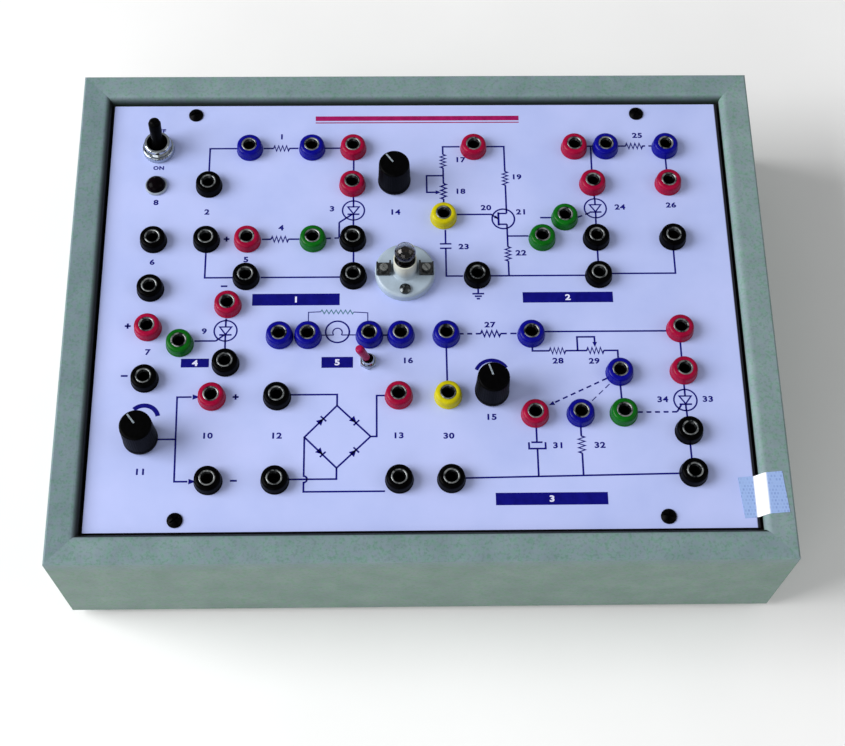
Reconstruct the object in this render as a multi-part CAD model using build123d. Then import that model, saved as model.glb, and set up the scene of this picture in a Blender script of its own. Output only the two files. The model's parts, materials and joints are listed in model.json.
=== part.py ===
"""Power electronics trainer: a shallow laminated case whose recessed panel carries
53 banana sockets, two switches, three knobs, a power lamp and a lamp holder.

+Z is up, +X runs along the long side and +Y points to the back. The origin is
under the middle of the case, on the surface that the feet stand on. Millimetres.
"""

import os
from math import atan, cos, degrees, radians, sin

from build123d import *

os.makedirs("parts", exist_ok=True)

# Case
case_width = 300.0
case_depth = 230.0
case_height = 65.0
foot_height = 5.0
board = 12.7
rim_round = 3.0
outer_bevel = 0.8
rebate_width = 7.0
base_thickness = 3.0
batten = 12.0
batten_height = 15.0
base_play = 0.6
block_leg = 26.0

# Panel
panel_recess = 3.5
panel_thickness = 3.0
panel_gap = 1.3
panel_screw_x = 99.3
panel_screw_y = 96.0

# Banana sockets
head_height = 5.0
head_base_radius = 5.9
head_top_radius = 5.3
socket_bore_radius = 2.0
socket_bore_depth = 17.0
contact_side = 5.0
contact_length = 18.0

# Flats on the round pieces: small repeated ones get fewer
repeat_sides = 10
round_sides = 16
knob_sides = 18
head_sides = 8

case_bottom = foot_height
case_top = foot_height + case_height
panel_top = case_top - panel_recess
panel_bottom = panel_top - panel_thickness
inner_width = case_width - 2 * board
inner_depth = case_depth - 2 * board
floor_top = case_bottom + base_thickness


def turned(profile, sides=round_sides):
    """A round piece with flat sides, through one regular polygon per (radius, height)."""
    rings = []
    for radius, z in profile:
        angles = [radians(360 * (i + 0.5) / sides) for i in range(sides)]
        rings.append([Vector(radius * cos(a), radius * sin(a), z) for a in angles])
    faces = [Face(Wire.make_polygon(ring)) for ring in (rings[0], rings[-1])]
    for low, high in zip(rings, rings[1:]):
        for i in range(sides):
            corners = [low[i - 1], low[i], high[i], high[i - 1]]
            faces.append(Face(Wire.make_polygon(corners)))
    return Solid(Shell(faces))


def tube(outer, inner, low, high, sides=round_sides):
    return turned([(outer, low), (outer, high)], sides) - turned(
        [(inner, low - 1), (inner, high + 1)], sides
    )


def block(width, depth, low, high):
    return Pos(0, 0, (low + high) / 2) * Box(width, depth, high - low)


def octagon(reach):
    """An eight-sided outline whose flats lie at the given distance from its middle."""
    return RegularPolygon(reach / cos(radians(22.5)), 8)


def save(node, *pieces):
    solids = [solid for piece in pieces for solid in piece.solids()]
    shape = solids[0] if len(solids) == 1 else Compound(children=solids)
    export_step(shape, f"parts/{node}.step")


# Case boards


def case_board(length):
    """One mitred board along X with its outer face at y = 0, rounded on its top edges."""
    middle = (case_bottom + case_top) / 2
    section = Pos(board / 2, middle) * Rectangle(board, case_height)
    rebate = Pos(board - rebate_width / 2, case_bottom + base_thickness / 2)
    section -= rebate * Rectangle(rebate_width, base_thickness)
    top = section.vertices().filter_by(lambda v: v.Y > case_top - 0.01).sort_by(Axis.X)
    section = fillet(top[-1], rim_round)
    top = section.vertices().filter_by(lambda v: v.Y > case_top - 0.01).sort_by(Axis.X)
    section = chamfer(top[0], outer_bevel)
    bar = extrude(Plane.YZ * section, length / 2, both=True)
    half = length / 2
    mitres = Polygon(
        (-half, 0), (half, 0), (half - board, board), (board - half, board), align=None
    )
    return bar & extrude(mitres, case_top + 1)


cable_x = -92.0
cable_z = 30.0
bush_radius = 6.0
cable_radius = 3.5

front_board = Pos(0, -case_depth / 2, 0) * case_board(case_width)
back_board = Rot(0, 0, 180) * front_board
right_board = Rot(0, 0, 90) * Pos(0, -case_width / 2, 0) * case_board(case_depth)
left_board = Rot(0, 0, 180) * right_board

cable_way = Pos(cable_x, case_depth / 2, cable_z) * Rot(90, 0, 0)
cable_bush = extrude(octagon(bush_radius), board)
back_board -= cable_way * cable_bush
cable_bush -= Pos(0, 0, board / 2) * Cylinder(cable_radius, board + 2)

save("case_front_board", front_board)
save("case_right_board", right_board)
save("case_left_board", left_board)
save("case_back_board", back_board)
save("cable_bush", cable_way * cable_bush)

corner_signs = [(-1, -1), (1, -1), (1, 1), (-1, 1)]

# A rubber foot under each corner, screwed through the base board into a glue block
foot_radius = 8.0
foot_x = 128.0
foot_y = 93.0
foot_draft = 1.2
foot_recess = 2.6
foot_well_radius = 4.2
foot_head_radius = 3.4
foot_head_height = 1.8
foot_screw_side = 2.8
foot_screw_length = 22.0
foot_places = [Pos(sx * foot_x, sy * foot_y) for sx, sy in corner_signs]

foot_head_low = foot_recess - foot_head_height
foot_head = turned([(foot_head_radius, foot_head_low), (foot_head_radius, foot_recess)], 6)
foot_shank = block(foot_screw_side, foot_screw_side, foot_recess, foot_screw_length)
save("foot_screws", *[place * (foot_head + foot_shank) for place in foot_places])

foot = turned([(foot_radius - foot_draft, 0), (foot_radius, foot_height)], repeat_sides)
foot -= turned([(foot_well_radius, -1), (foot_well_radius, foot_recess)], 6)
foot -= foot_shank
save("rubber_feet", *[place * foot for place in foot_places])

batten_low = panel_bottom - batten_height
blocks = []
for (sx, sy), place in zip(corner_signs, foot_places):
    corner_x = sx * inner_width / 2
    corner_y = sy * inner_depth / 2
    outline = Polygon(
        (corner_x, corner_y),
        (corner_x - sx * block_leg, corner_y),
        (corner_x, corner_y - sy * block_leg),
        align=None,
    )
    rise = batten_low - floor_top
    glue_block = Pos(0, 0, floor_top) * extrude(outline, rise, dir=(0, 0, 1))
    blocks.append(glue_block - place * foot_shank)
save("corner_blocks", *blocks)

# The base board lies in the rebate of the four sides
base_width = inner_width + 2 * rebate_width - base_play
base_depth = inner_depth + 2 * rebate_width - base_play
base_board = block(base_width, base_depth, case_bottom, floor_top)
for place in foot_places:
    base_board -= place * foot_shank
save("base_board", base_board)

# Panel layout

# Columns and rows of the printed circuits, from the middle of the panel
supply_x = -114.8
top_row = 77.8
anode_row = 59.0
gate_row = 31.5
return_row = 13.3
load_row = -14.7
input_row = -42.6
low_row = -79.5

black_places = [
    (supply_x, gate_row),
    (supply_x, 8.0),
    (supply_x, -34.2),
    (-81.5, -27.2),
    (-86.6, low_row),
    (-91.9, anode_row),
    (-91.9, gate_row),
    (-28.5, gate_row),
    (-74.2, return_row),
    (-28.2, return_row),
    (-59.6, input_row),
    (-59.6, low_row),
    (-9.1, low_row),
    (25.1, return_row),
    (77.4, gate_row),
    (110.8, gate_row),
    (77.4, return_row),
    (12.0, low_row),
    (110.4, -59.3),
    (110.8, -77.7),
]
red_places = [
    (supply_x, -10.6),
    (-81.5, 0.0),
    (-86.6, input_row),
    (-28.5, top_row),
    (-28.8, anode_row),
    (-74.2, gate_row),
    (-9.1, input_row),
    (25.1, top_row),
    (70.1, top_row),
    (77.3, anode_row),
    (110.8, anode_row),
    (47.2, -51.2),
    (110.4, load_row + 2.0),
    (110.4, -32.2),
]
blue_places = [
    (-74.5, top_row),
    (-46.8, top_row),
    (-59.2, load_row),
    (-47.2, load_row),
    (-21.3, load_row),
    (-8.0, load_row),
    (84.1, top_row),
    (110.8, top_row),
    (11.2, load_row),
    (47.1, load_row),
    (83.4, -32.6),
    (66.1, -51.2),
]
green_places = [
    (-101.0, -18.0),
    (-45.8, gate_row),
    (53.8, gate_row),
    (64.1, 41.7),
    (84.0, -51.0),
]
yellow_places = [(11.1, 42.6), (11.4, input_row)]

socket_places = {
    "black": black_places,
    "red": red_places,
    "blue": blue_places,
    "green": green_places,
    "yellow": yellow_places,
}
all_sockets = [place for places in socket_places.values() for place in places]

power_switch_place = (-115.0, 78.0)
power_lamp_place = (-115.2, 59.3)
load_switch_place = (-21.8, -26.6)
gate_knob_place = (-10.3, 60.8)
volts_knob_place = (-114.9, -60.8)
rc_knob_place = (29.7, -40.6)
lamp_place = (-6.0, 14.8)

knob_places = [gate_knob_place, volts_knob_place, rc_knob_place]
panel_screw_places = [(sx * panel_screw_x, sy * panel_screw_y) for sx, sy in corner_signs]


def on_panel(place):
    return Pos(place[0], place[1], panel_top)


# Panel sheet

# A square hole keeps each socket from turning. Its rounded corner is the key, at the back right
# of most holes. Sockets are numbered from 1 in the order of the lists above.
hole_side = contact_side + 0.4
key_radius = hole_side * 0.676
back_right = (1, 1)
back_left = (-1, 1)
front_left = (-1, -1)
other_keys = {
    4: (back_right, front_left),
    9: (back_left,),
    21: (back_left, front_left),
    22: (back_right, front_left),
    32: (back_right, back_left),
    47: (back_left,),
}

pot_hole = 3.8
power_switch_hole = 6.2
load_switch_hole = 2.8
power_lamp_hole = 3.6
screw_hole = 1.75
lamp_fixing_reach = 9.6


def socket_hole(number):
    """A square hole whose key corners are rounded about its middle."""
    hole = Rectangle(hole_side, hole_side)
    for sx, sy in other_keys.get(number, (back_right,)):
        corner = Pos(sx * hole_side / 2, sy * hole_side / 2) * Rectangle(1, 1)
        hole -= corner - Circle(key_radius)
    return hole


sheet = Rectangle(inner_width - 2 * panel_gap, inner_depth - 2 * panel_gap)
cuts = [Pos(*place) * socket_hole(i) for i, place in enumerate(all_sockets, 1)]
cuts += [Pos(*place) * octagon(pot_hole) for place in knob_places]
cuts += [Pos(*place) * octagon(screw_hole) for place in panel_screw_places]
cuts.append(Pos(*power_switch_place) * octagon(power_switch_hole))
cuts.append(Pos(*load_switch_place) * octagon(load_switch_hole))
cuts.append(Pos(*power_lamp_place) * octagon(power_lamp_hole))
for side in (-1, 1):
    x, y = lamp_place
    cuts.append(Pos(x, y + side * lamp_fixing_reach) * octagon(screw_hole))
for cut in cuts:
    sheet -= cut
panel = Pos(0, 0, panel_bottom) * extrude(sheet, panel_thickness)
save("panel", panel)

# Battens under the front and back edges take the panel screws
screw_side = 2.1
screw_length = 13.0
screw_shank = block(screw_side, screw_side, -screw_length, 0)
battens = []
for side in (-1, 1):
    y = side * (inner_depth - batten) / 2
    strip = Pos(0, y) * block(inner_width, batten, batten_low, panel_bottom)
    for sx in (-1, 1):
        strip -= Pos(sx * panel_screw_x, side * panel_screw_y, panel_top) * screw_shank
    battens.append(strip)
save("panel_battens", *battens)

screw_head = turned([(3.2, 0), (2.9, 0.9), (1.8, 1.8)], 8)
panel_screw = screw_head + screw_shank
save("panel_screws", *[on_panel(place) * panel_screw for place in panel_screw_places])

# Banana sockets

head_taper = degrees(atan((head_base_radius - head_top_radius) / head_height))
head = extrude(RegularPolygon(head_base_radius, head_sides), head_height, taper=head_taper)
head -= block(contact_side, contact_side, -1, head_height + 1)
for colour, places in socket_places.items():
    save(f"{colour}_socket_heads", *[on_panel(place) * head for place in places])

contact_low = head_height - contact_length
bore_low = head_height - socket_bore_depth
contact = block(contact_side, contact_side, contact_low, head_height)
bore_middle = (bore_low + head_height + 1) / 2
contact -= Pos(0, 0, bore_middle) * Cylinder(socket_bore_radius, socket_bore_depth + 1)
save("socket_contacts", *[on_panel(place) * contact for place in all_sockets])

# Power switch

bat_lean = 16.0
power_pivot = panel_top + 4.0
bushing_outer = 6.0
bushing_inner = 4.2
bushing_top = 6.5

power_body_width = 14.0
power_body_depth = 20.0
power_body_height = 22.0
power_pocket_width = 9.0
power_pocket_depth = 14.0
power_pocket_fall = 8.0
body_top = -panel_thickness
power_body = block(power_body_width, power_body_depth, body_top - power_body_height, body_top)
power_body -= block(
    power_pocket_width, power_pocket_depth, body_top - power_pocket_fall, body_top + 1
)
save("power_switch_body", on_panel(power_switch_place) * power_body)

bushing = tube(bushing_outer, bushing_inner, body_top, bushing_top)
save("power_switch_bushing", on_panel(power_switch_place) * bushing)

dress_nut = turned([(7.1, 0), (7.1, 2.4), (6.7, 3.0)])
dress_nut -= turned([(bushing_outer, -1), (bushing_outer, 4)])
save("power_switch_nut", on_panel(power_switch_place) * dress_nut)

# A bat-shaped lever that swings on a ball in the bushing
bat = turned(
    [
        (1.6, -7.0),
        (1.6, -3.0),
        (2.7, -1.6),
        (2.7, 1.6),
        (2.5, 3.6),
        (2.75, 10.6),
        (2.75, 12.2),
        (2.2, 13.8),
        (1.0, 14.6),
    ],
    repeat_sides,
)
power_lever_place = Pos(*power_switch_place, power_pivot)
save("power_lever", power_lever_place * Rot(-bat_lean, 0, 0) * bat)

# Power lamp

bezel_radius = 4.9
bezel_height = 1.2
barrel_outer = 3.5
barrel_inner = 2.9
barrel_length = 11.0
lens_stem_radius = 2.8
lens_stem_length = 6.0
bezel = turned([(bezel_radius, 0), (bezel_radius, bezel_height)])
bezel += turned([(barrel_outer, -barrel_length), (barrel_outer, 0)], 8)
bezel -= turned([(barrel_inner, -barrel_length - 1), (barrel_inner, bezel_height + 1)], 8)
save("power_lamp_bezel", on_panel(power_lamp_place) * bezel)
dome = turned([(4.3, bezel_height), (4.2, 2.4), (3.3, 3.6), (1.6, 4.3)])
dome += turned([(lens_stem_radius, -lens_stem_length), (lens_stem_radius, bezel_height)], 8)
save("power_lamp_lens", on_panel(power_lamp_place) * dome)

# Load switch

toggle_lean = 18.0
toggle_pivot = panel_top + 2.4
toggle_body_width = 13.0
toggle_body_depth = 8.0
toggle_body_height = 10.0
toggle_pocket_width = 7.4
toggle_pocket_depth = 4.0
toggle_pocket_fall = 6.0
toggle_body = block(toggle_body_width, toggle_body_depth, body_top - toggle_body_height, body_top)
toggle_body -= block(
    toggle_pocket_width, toggle_pocket_depth, body_top - toggle_pocket_fall, body_top + 1
)
save("load_switch_body", on_panel(load_switch_place) * toggle_body)

toggle_thread = 2.6
toggle_mouth = 2.15
toggle_bushing_top = 3.6
toggle_bushing = tube(toggle_thread, toggle_mouth, body_top, toggle_bushing_top, repeat_sides)
save("load_switch_bushing", on_panel(load_switch_place) * toggle_bushing)

toggle_nut_radius = 3.8
toggle_nut_height = 1.8
toggle_nut = turned([(toggle_nut_radius, 0), (toggle_nut_radius, toggle_nut_height)], 6)
toggle_nut -= turned([(toggle_thread, -1), (toggle_thread, toggle_nut_height + 1)], repeat_sides)
save("load_switch_nut", on_panel(load_switch_place) * toggle_nut)

toggle_lever = turned([(0.7, -3.8), (0.95, -1.0), (0.95, 10.4)], repeat_sides)
toggle_sleeve = turned([(1.5, 2.2), (1.7, 10.6), (1.2, 11.8)], repeat_sides)
toggle_sleeve -= toggle_lever
load_lever_place = Pos(*load_switch_place, toggle_pivot) * Rot(0, -toggle_lean, 0)
save("load_lever", load_lever_place * toggle_lever)
save("load_lever_sleeve", load_lever_place * toggle_sleeve)

# Potentiometers and knobs

knob_height = 16.0
knob_base_radius = 7.2
knob_top_radius = 6.7
knob_edge = 0.7
shaft_radius = 2.9
shaft_top = 12.5
shaft_tail = 4.5
knob_lift = 1.0
knob_well_radius = 6.1
knob_well_height = 6.0

pot_radius = 8.2
pot_height = 9.0
pot_thread = 3.6
pot_thread_top = 5.0
pot_bore = 3.15
pot_bore_depth = 5.0
pot_nut_radius = 5.6
pot_nut_height = 2.0
pot = turned([(pot_radius, body_top - pot_height), (pot_radius, body_top)], repeat_sides)
pot += turned([(pot_thread, body_top), (pot_thread, pot_thread_top)], 8)
pot -= turned([(pot_bore, body_top - pot_bore_depth), (pot_bore, pot_thread_top + 1)], repeat_sides)
pot_nut = turned([(pot_nut_radius, 0), (pot_nut_radius, pot_nut_height)], 6)
pot_nut -= turned([(pot_thread, -1), (pot_thread, pot_nut_height + 1)], 8)
save("pot_bodies", *[on_panel(place) * pot for place in knob_places])
save("pot_nuts", *[on_panel(place) * pot_nut for place in knob_places])

knob = turned(
    [
        (knob_base_radius, knob_lift),
        (knob_base_radius, knob_lift + 1.6),
        (knob_top_radius, knob_height - knob_edge),
        (knob_top_radius - knob_edge, knob_height),
    ],
    knob_sides,
)
shaft = turned([(shaft_radius, body_top - shaft_tail), (shaft_radius, shaft_top)], repeat_sides)
knob -= turned([(knob_well_radius, 0), (knob_well_radius, knob_well_height)], repeat_sides)
knob -= shaft

# The white line is let into the top of the knob, from its rim towards the middle
line_width = 0.7
line_length = 5.0
line_depth = 0.4
line_inset = 0.9
line = block(line_width, line_length, knob_height - line_depth, knob_height)
line = Pos(0, knob_top_radius - line_inset - line_length / 2) * line
knob -= line

knob_turns = {"gate": 37.0, "volts": 37.0, "rc": 19.0}
for (name, turn), place in zip(knob_turns.items(), knob_places):
    spot = on_panel(place) * Rot(0, 0, turn)
    save(f"{name}_knob", spot * knob)
    save(f"{name}_knob_line", spot * line)
    save(f"{name}_shaft", spot * shaft)

# Lamp holder and bulb

base_radius = 13.0
plate_height = 4.5
collar_radius = 5.0
collar_height = 14.0
shell_outer = 4.45
shell_inner = 4.2
shell_low = 3.0
shell_drop = 0.6
terminal_reach = 9.1
fixing_side = 2.2
fixing_length = 9.0

lamp_base = turned(
    [(base_radius, 0), (base_radius, plate_height - 1.0), (base_radius - 0.8, plate_height)],
    knob_sides,
)
lamp_base += turned(
    [
        (collar_radius + 0.5, plate_height),
        (collar_radius, plate_height + 1.2),
        (collar_radius, collar_height),
    ]
)
lamp_base -= turned([(shell_outer, shell_low), (shell_outer, collar_height + 1)])
for side in (-1, 1):
    fixing_hole = block(fixing_side, fixing_side, -1, plate_height + 1)
    lamp_base -= Pos(0, side * lamp_fixing_reach) * fixing_hole
save("lamp_base", on_panel(lamp_place) * lamp_base)

lamp_shell = tube(shell_outer, shell_inner, shell_low, collar_height - shell_drop)
save("lamp_shell", on_panel(lamp_place) * lamp_shell)
contact_top = 4.0
lamp_contact = turned([(2.0, shell_low), (1.0, contact_top)], 8)
save("lamp_contact", on_panel(lamp_place) * lamp_contact)

# A plate bent up at both ends and a cheese-head screw at each side, for the leads
terminal_length = 6.4
terminal_width = 6.0
terminal_thickness = 0.9
bend_thickness = 0.8
terminal_top = plate_height + terminal_thickness
terminal_plate = block(terminal_length, terminal_width, plate_height, terminal_top)
for side, rise in ((-1, 3.1), (1, 1.9)):
    bend = block(bend_thickness, terminal_width, plate_height, plate_height + rise)
    terminal_plate += Pos(side * (terminal_length - bend_thickness) / 2) * bend
terminal_screw = turned([(1.8, 0), (1.8, 1.5), (1.5, 1.8)], repeat_sides)
terminal_screw = Pos(0, 0, terminal_top) * terminal_screw
plates = []
screws = []
for turn in (0, 180):
    spot = on_panel(lamp_place) * Rot(0, 0, turn) * Pos(terminal_reach, 0)
    plates.append(spot * terminal_plate)
    screws.append(spot * terminal_screw)
save("lamp_terminal_plates", *plates)
save("lamp_terminal_screws", *screws)

fixing_head = turned([(2.4, 0), (2.3, 1.2), (1.4, 1.8)], repeat_sides)
fixing_screw = Pos(0, 0, plate_height) * fixing_head
fixing_screw += block(fixing_side, fixing_side, -fixing_length, plate_height)
fixings = []
for side in (-1, 1):
    fixings.append(on_panel(lamp_place) * Pos(0, side * lamp_fixing_reach) * fixing_screw)
save("lamp_fixing_screws", *fixings)

cap_low = 5.2
cap_high = 13.4
cap_radius = 3.95
cap_root = cap_radius - 0.35
thread_pitch = 1.8
thread_count = 3
thread_low = cap_low + 1.2
cap_profile = [(2.6, cap_low), (cap_root, thread_low)]
for turn in range(thread_count):
    cap_profile.append((cap_radius, thread_low + (turn + 0.5) * thread_pitch))
    cap_profile.append((cap_root, thread_low + (turn + 1) * thread_pitch))
cap_profile.append((cap_root, cap_high))
bulb_cap = turned(cap_profile, repeat_sides)
save("bulb_cap", on_panel(lamp_place) * bulb_cap)
bulb_contact = turned([(1.0, contact_top), (1.6, cap_low)], 8)
save("bulb_contact", on_panel(lamp_place) * bulb_contact)

glass_radius = 4.5
glass_wall = 0.55
glass_middle = 19.8
neck_radius = 3.5
neck_floor = cap_high + 0.7
glass_outer = [(neck_radius, cap_high)]
glass_inner = [(neck_radius - glass_wall, neck_floor)]
for angle in (-40, 0, 35, 65):
    rise = sin(radians(angle))
    reach = cos(radians(angle))
    glass_outer.append((glass_radius * reach, glass_middle + glass_radius * rise))
    inner_radius = glass_radius - glass_wall
    glass_inner.append((inner_radius * reach, glass_middle + inner_radius * rise))
bulb_glass = turned(glass_outer, repeat_sides) - turned(glass_inner, repeat_sides)
save("bulb_glass", on_panel(lamp_place) * bulb_glass)

stem = turned([(1.4, neck_floor), (1.1, 16.0), (0.5, 16.8)], 8)
wire_side = 0.3
wire_low = 16.5
wire_high = 19.7
wire_reach = 1.1
coil_length = 3.4
coil_side = 0.5
wire = block(wire_side, wire_side, wire_low, wire_high)
filament = block(coil_length, coil_side, wire_high - wire_side, wire_high - wire_side + coil_side)
filament += Pos(-wire_reach) * wire + Pos(wire_reach) * wire
save("bulb_stem", on_panel(lamp_place) * stem)
save("bulb_filament", on_panel(lamp_place) * filament)

# Inside the case

core_width = 46.0
core_stack = 16.0
core_top = floor_top + 38.0
window_width = 30.0
window_low = floor_top + 8.0
window_high = floor_top + 32.0
coil_depth = 30.0
bracket_width = 70.0
bracket_top = floor_top + 1.4
core = block(core_width, core_stack, bracket_top, core_top)
core -= block(window_width, core_stack + 2, window_low, window_high)
coil = block(window_width, coil_depth, window_low, window_high)
bracket = block(bracket_width, core_stack, floor_top, bracket_top)
transformer_spot = Pos(-95, 20, 0)
save("transformer_core", transformer_spot * core)
save("transformer_coil", transformer_spot * coil)
save("transformer_bracket", transformer_spot * bracket)

board_width = 120.0
board_depth = 80.0
board_low = floor_top + 8.0
board_high = board_low + 1.6
standoff_side = 6.0
capacitor_radius = 5.0
capacitor_height = 16.0
sink_width = 20.0
sink_depth = 8.0
sink_height = 20.0
sink_wall = 2.0
board_spot = Pos(30, -10, 0)
save("circuit_board", board_spot * block(board_width, board_depth, board_low, board_high))
standoff = block(standoff_side, standoff_side, floor_top, board_low)
standoff_x = board_width / 2 - standoff_side
standoff_y = board_depth / 2 - standoff_side
standoffs = [Pos(sx * standoff_x, sy * standoff_y) * standoff for sx, sy in corner_signs]
save("board_standoffs", *[board_spot * piece for piece in standoffs])
capacitor_top = board_high + capacitor_height
capacitor = turned(
    [(capacitor_radius, board_high), (capacitor_radius, capacitor_top)], repeat_sides
)
capacitors = [Pos(x, -22) * capacitor for x in (-45, -30)]
save("board_capacitors", *[board_spot * piece for piece in capacitors])
sink_fins = block(sink_width - 2 * sink_wall, sink_depth, board_high + sink_wall, board_high + 40)
sink = block(sink_width, sink_depth, board_high, board_high + sink_height)
sink = Pos(-40, 16) * (sink - Pos(0, -2 * sink_wall) * sink_fins)
save("regulator_sink", board_spot * sink)

# Plain paper seal

# A square of paper stuck over the panel's right edge and the rim of the case
seal_thickness = 0.2
seal_side = 17.6
seal_place = (138.2, -87.6)
seal_turn = 4.5
strip_left = 120.0
strip_right = 149.0
rim_middle = (inner_width / 2 + rim_round, case_top - rim_round)


def seal_edge(lift):
    """The paper's path over the panel, up at 45 degrees and round onto the rim."""
    reach = rim_round + lift
    rise = (rim_middle[0] - reach * cos(radians(45)), rim_middle[1] + reach * sin(radians(45)))
    fold = (rise[0] - (rise[1] - panel_top - lift), panel_top + lift)
    path = Polyline((strip_left, panel_top + lift), fold, rise)
    path += CenterArc(rim_middle, reach, 135, -45)
    return path + Line((rim_middle[0], case_top + lift), (strip_right, case_top + lift))


strip_ends = Line((strip_left, panel_top), (strip_left, panel_top + seal_thickness))
strip_ends += Line((strip_right, case_top), (strip_right, case_top + seal_thickness))
strip = make_face(seal_edge(0).edges() + seal_edge(seal_thickness).edges() + strip_ends.edges())
strip = extrude(Plane.XZ * strip, case_depth)
seal_cut = Pos(*seal_place) * Rot(0, 0, seal_turn)
seal_cut *= block(seal_side, seal_side, panel_top - 1, case_top + 1)
save("seal_sticker", strip & seal_cut)
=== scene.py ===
"""The looks of a power electronics trainer: a mottled laminate case, a printed circuit panel,
banana sockets in five colours, switches, knobs and a small bulb in its holder.

Shapes are worked out in millimetres and turned into metres as each piece is made.
"""

import json
from math import cos, pi, radians, sin

import bmesh
import bpy
import numpy as np
from mathutils import Matrix, Vector


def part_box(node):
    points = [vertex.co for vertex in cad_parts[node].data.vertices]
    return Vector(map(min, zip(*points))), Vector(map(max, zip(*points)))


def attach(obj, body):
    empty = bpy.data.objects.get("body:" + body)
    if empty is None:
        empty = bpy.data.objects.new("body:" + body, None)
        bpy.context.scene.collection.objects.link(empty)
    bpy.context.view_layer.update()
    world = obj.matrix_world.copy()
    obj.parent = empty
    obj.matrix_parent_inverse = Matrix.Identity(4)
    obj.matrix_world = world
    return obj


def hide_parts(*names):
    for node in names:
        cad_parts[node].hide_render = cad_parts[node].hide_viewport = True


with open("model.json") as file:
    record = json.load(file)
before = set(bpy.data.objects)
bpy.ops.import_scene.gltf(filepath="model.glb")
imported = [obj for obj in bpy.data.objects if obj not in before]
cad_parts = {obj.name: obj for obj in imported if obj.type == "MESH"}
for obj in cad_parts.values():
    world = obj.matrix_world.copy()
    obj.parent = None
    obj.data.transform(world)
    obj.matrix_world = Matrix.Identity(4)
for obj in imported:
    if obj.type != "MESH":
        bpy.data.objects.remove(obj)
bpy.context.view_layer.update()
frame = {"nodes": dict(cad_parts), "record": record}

MM = 0.001
panel_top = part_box("panel")[1].z / MM
case_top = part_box("case_front_board")[1].z / MM


def middle_of(node):
    """The middle of a CAD node's box, in X and Y, at the height of the panel's face."""
    low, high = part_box(node)
    return np.array([(low.x + high.x) / 2 / MM, (low.y + high.y) / 2 / MM, panel_top])


# Shapes: each is (points in millimetres, blocks of faces)


def grid_faces(rows, columns, join_rows=False, join_columns=False):
    """Quads of a grid of points kept row by row; a joined side runs on to its first line."""
    row, column = np.meshgrid(
        np.arange(rows if join_rows else rows - 1),
        np.arange(columns if join_columns else columns - 1), indexing="ij",
    )
    next_row = (row + 1) % rows
    next_column = (column + 1) % columns
    corners = [
        row * columns + column, row * columns + next_column, next_row * columns + next_column,
        next_row * columns + column,
    ]
    return np.stack(corners, -1).reshape(-1, 4)


def softened(corners, steps=4):
    """A closed profile through (radius, height, cut) corners. A corner with a cut becomes the
    curve (1-s)^2 A + 2 s (1-s) P + s^2 B, from A to B at that distance each side of corner P."""
    points = []
    s = np.linspace(0, 1, steps + 1)[:, None]
    places = np.array([corner[:2] for corner in corners], float)
    for i, (_, _, cut) in enumerate(corners):
        here = places[i]
        if cut == 0:
            points.append(here[None])
            continue
        before = places[i - 1] - here
        after = places[(i + 1) % len(places)] - here
        start = here + before * cut / np.linalg.norm(before)
        end = here + after * cut / np.linalg.norm(after)
        points.append((1 - s) ** 2 * start + 2 * s * (1 - s) * here + s**2 * end)
    return np.concatenate(points)


def lathe(profile, sides=32, flats=None, waves=0, ripple=0.0, joined=True):
    """Turns a profile of (radius, height) about Z: x = r cos a, y = r sin a, z = height.
    flats = (count, reach) holds r within a regular polygon. waves ripples r by
    ripple (1 - cos(waves a)) / 2, where ripple is one depth or one for each profile point."""
    profile = np.asarray(profile, float)
    angle = np.linspace(0, 2 * pi, sides, endpoint=False)
    radius = np.repeat(profile[:, :1], sides, axis=1)
    if flats:
        count, reach = flats
        within = (angle + pi / count) % (2 * pi / count) - pi / count
        radius = np.minimum(radius, reach / np.cos(within))
    if waves:
        depth = np.broadcast_to(ripple, len(profile))[:, None]
        radius = radius - depth * (1 - np.cos(waves * angle)) / 2
    points = np.empty((len(profile), sides, 3))
    points[..., 0] = radius * np.cos(angle)
    points[..., 1] = radius * np.sin(angle)
    points[..., 2] = profile[:, 1:]
    faces = grid_faces(len(profile), sides, joined, True)
    return points.reshape(-1, 3), [faces]


def slotted_head(radius, height, slot_width, slot_depth, cross=False, crown=0.6):
    """A low dome over a disc, with a slot sunk into it. A square grid (u, v) is drawn onto the
    disc by x = u sqrt(1 - v^2 / 2), y = v sqrt(1 - u^2 / 2); the height falls from the middle by
    crown times the radius squared, and is lower by slot_depth where |u| is within the slot."""
    half = slot_width / 2 / radius
    outside = np.linspace(half, 1, 7)
    lines = np.concatenate([-outside[::-1], [-half + 1e-4, half - 1e-4], outside])
    u, v = np.meshgrid(lines, lines, indexing="ij")
    x = u * np.sqrt(1 - v**2 / 2)
    y = v * np.sqrt(1 - u**2 / 2)
    z = height * (1 - crown * (x**2 + y**2))
    in_slot = np.abs(u) < half - 5e-5
    if cross:
        in_slot = (in_slot | (np.abs(v) < half - 5e-5)) & (x**2 + y**2 < 0.45)
    z = np.where(in_slot, np.minimum(z, height - slot_depth), z)
    x, y = (np.pad(a, 1, mode="edge") for a in (x, y))
    z = np.pad(z, 1)
    points = np.stack([x * radius, y * radius, z], -1).reshape(-1, 3)
    side = len(lines) + 2
    faces = grid_faces(side, side)
    ring = np.arange(side)
    rim = np.concatenate([
        ring, ring[1:] * side + side - 1, side * (side - 1) + ring[-2::-1], ring[-2:0:-1] * side,
    ])
    middle = len(points)
    points = np.append(points, [[0, 0, 0]], axis=0)
    floor = np.stack([np.full(len(rim), middle), np.roll(rim, -1), rim], -1)
    return points, [faces, floor]


ink_height = 0.04


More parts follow.
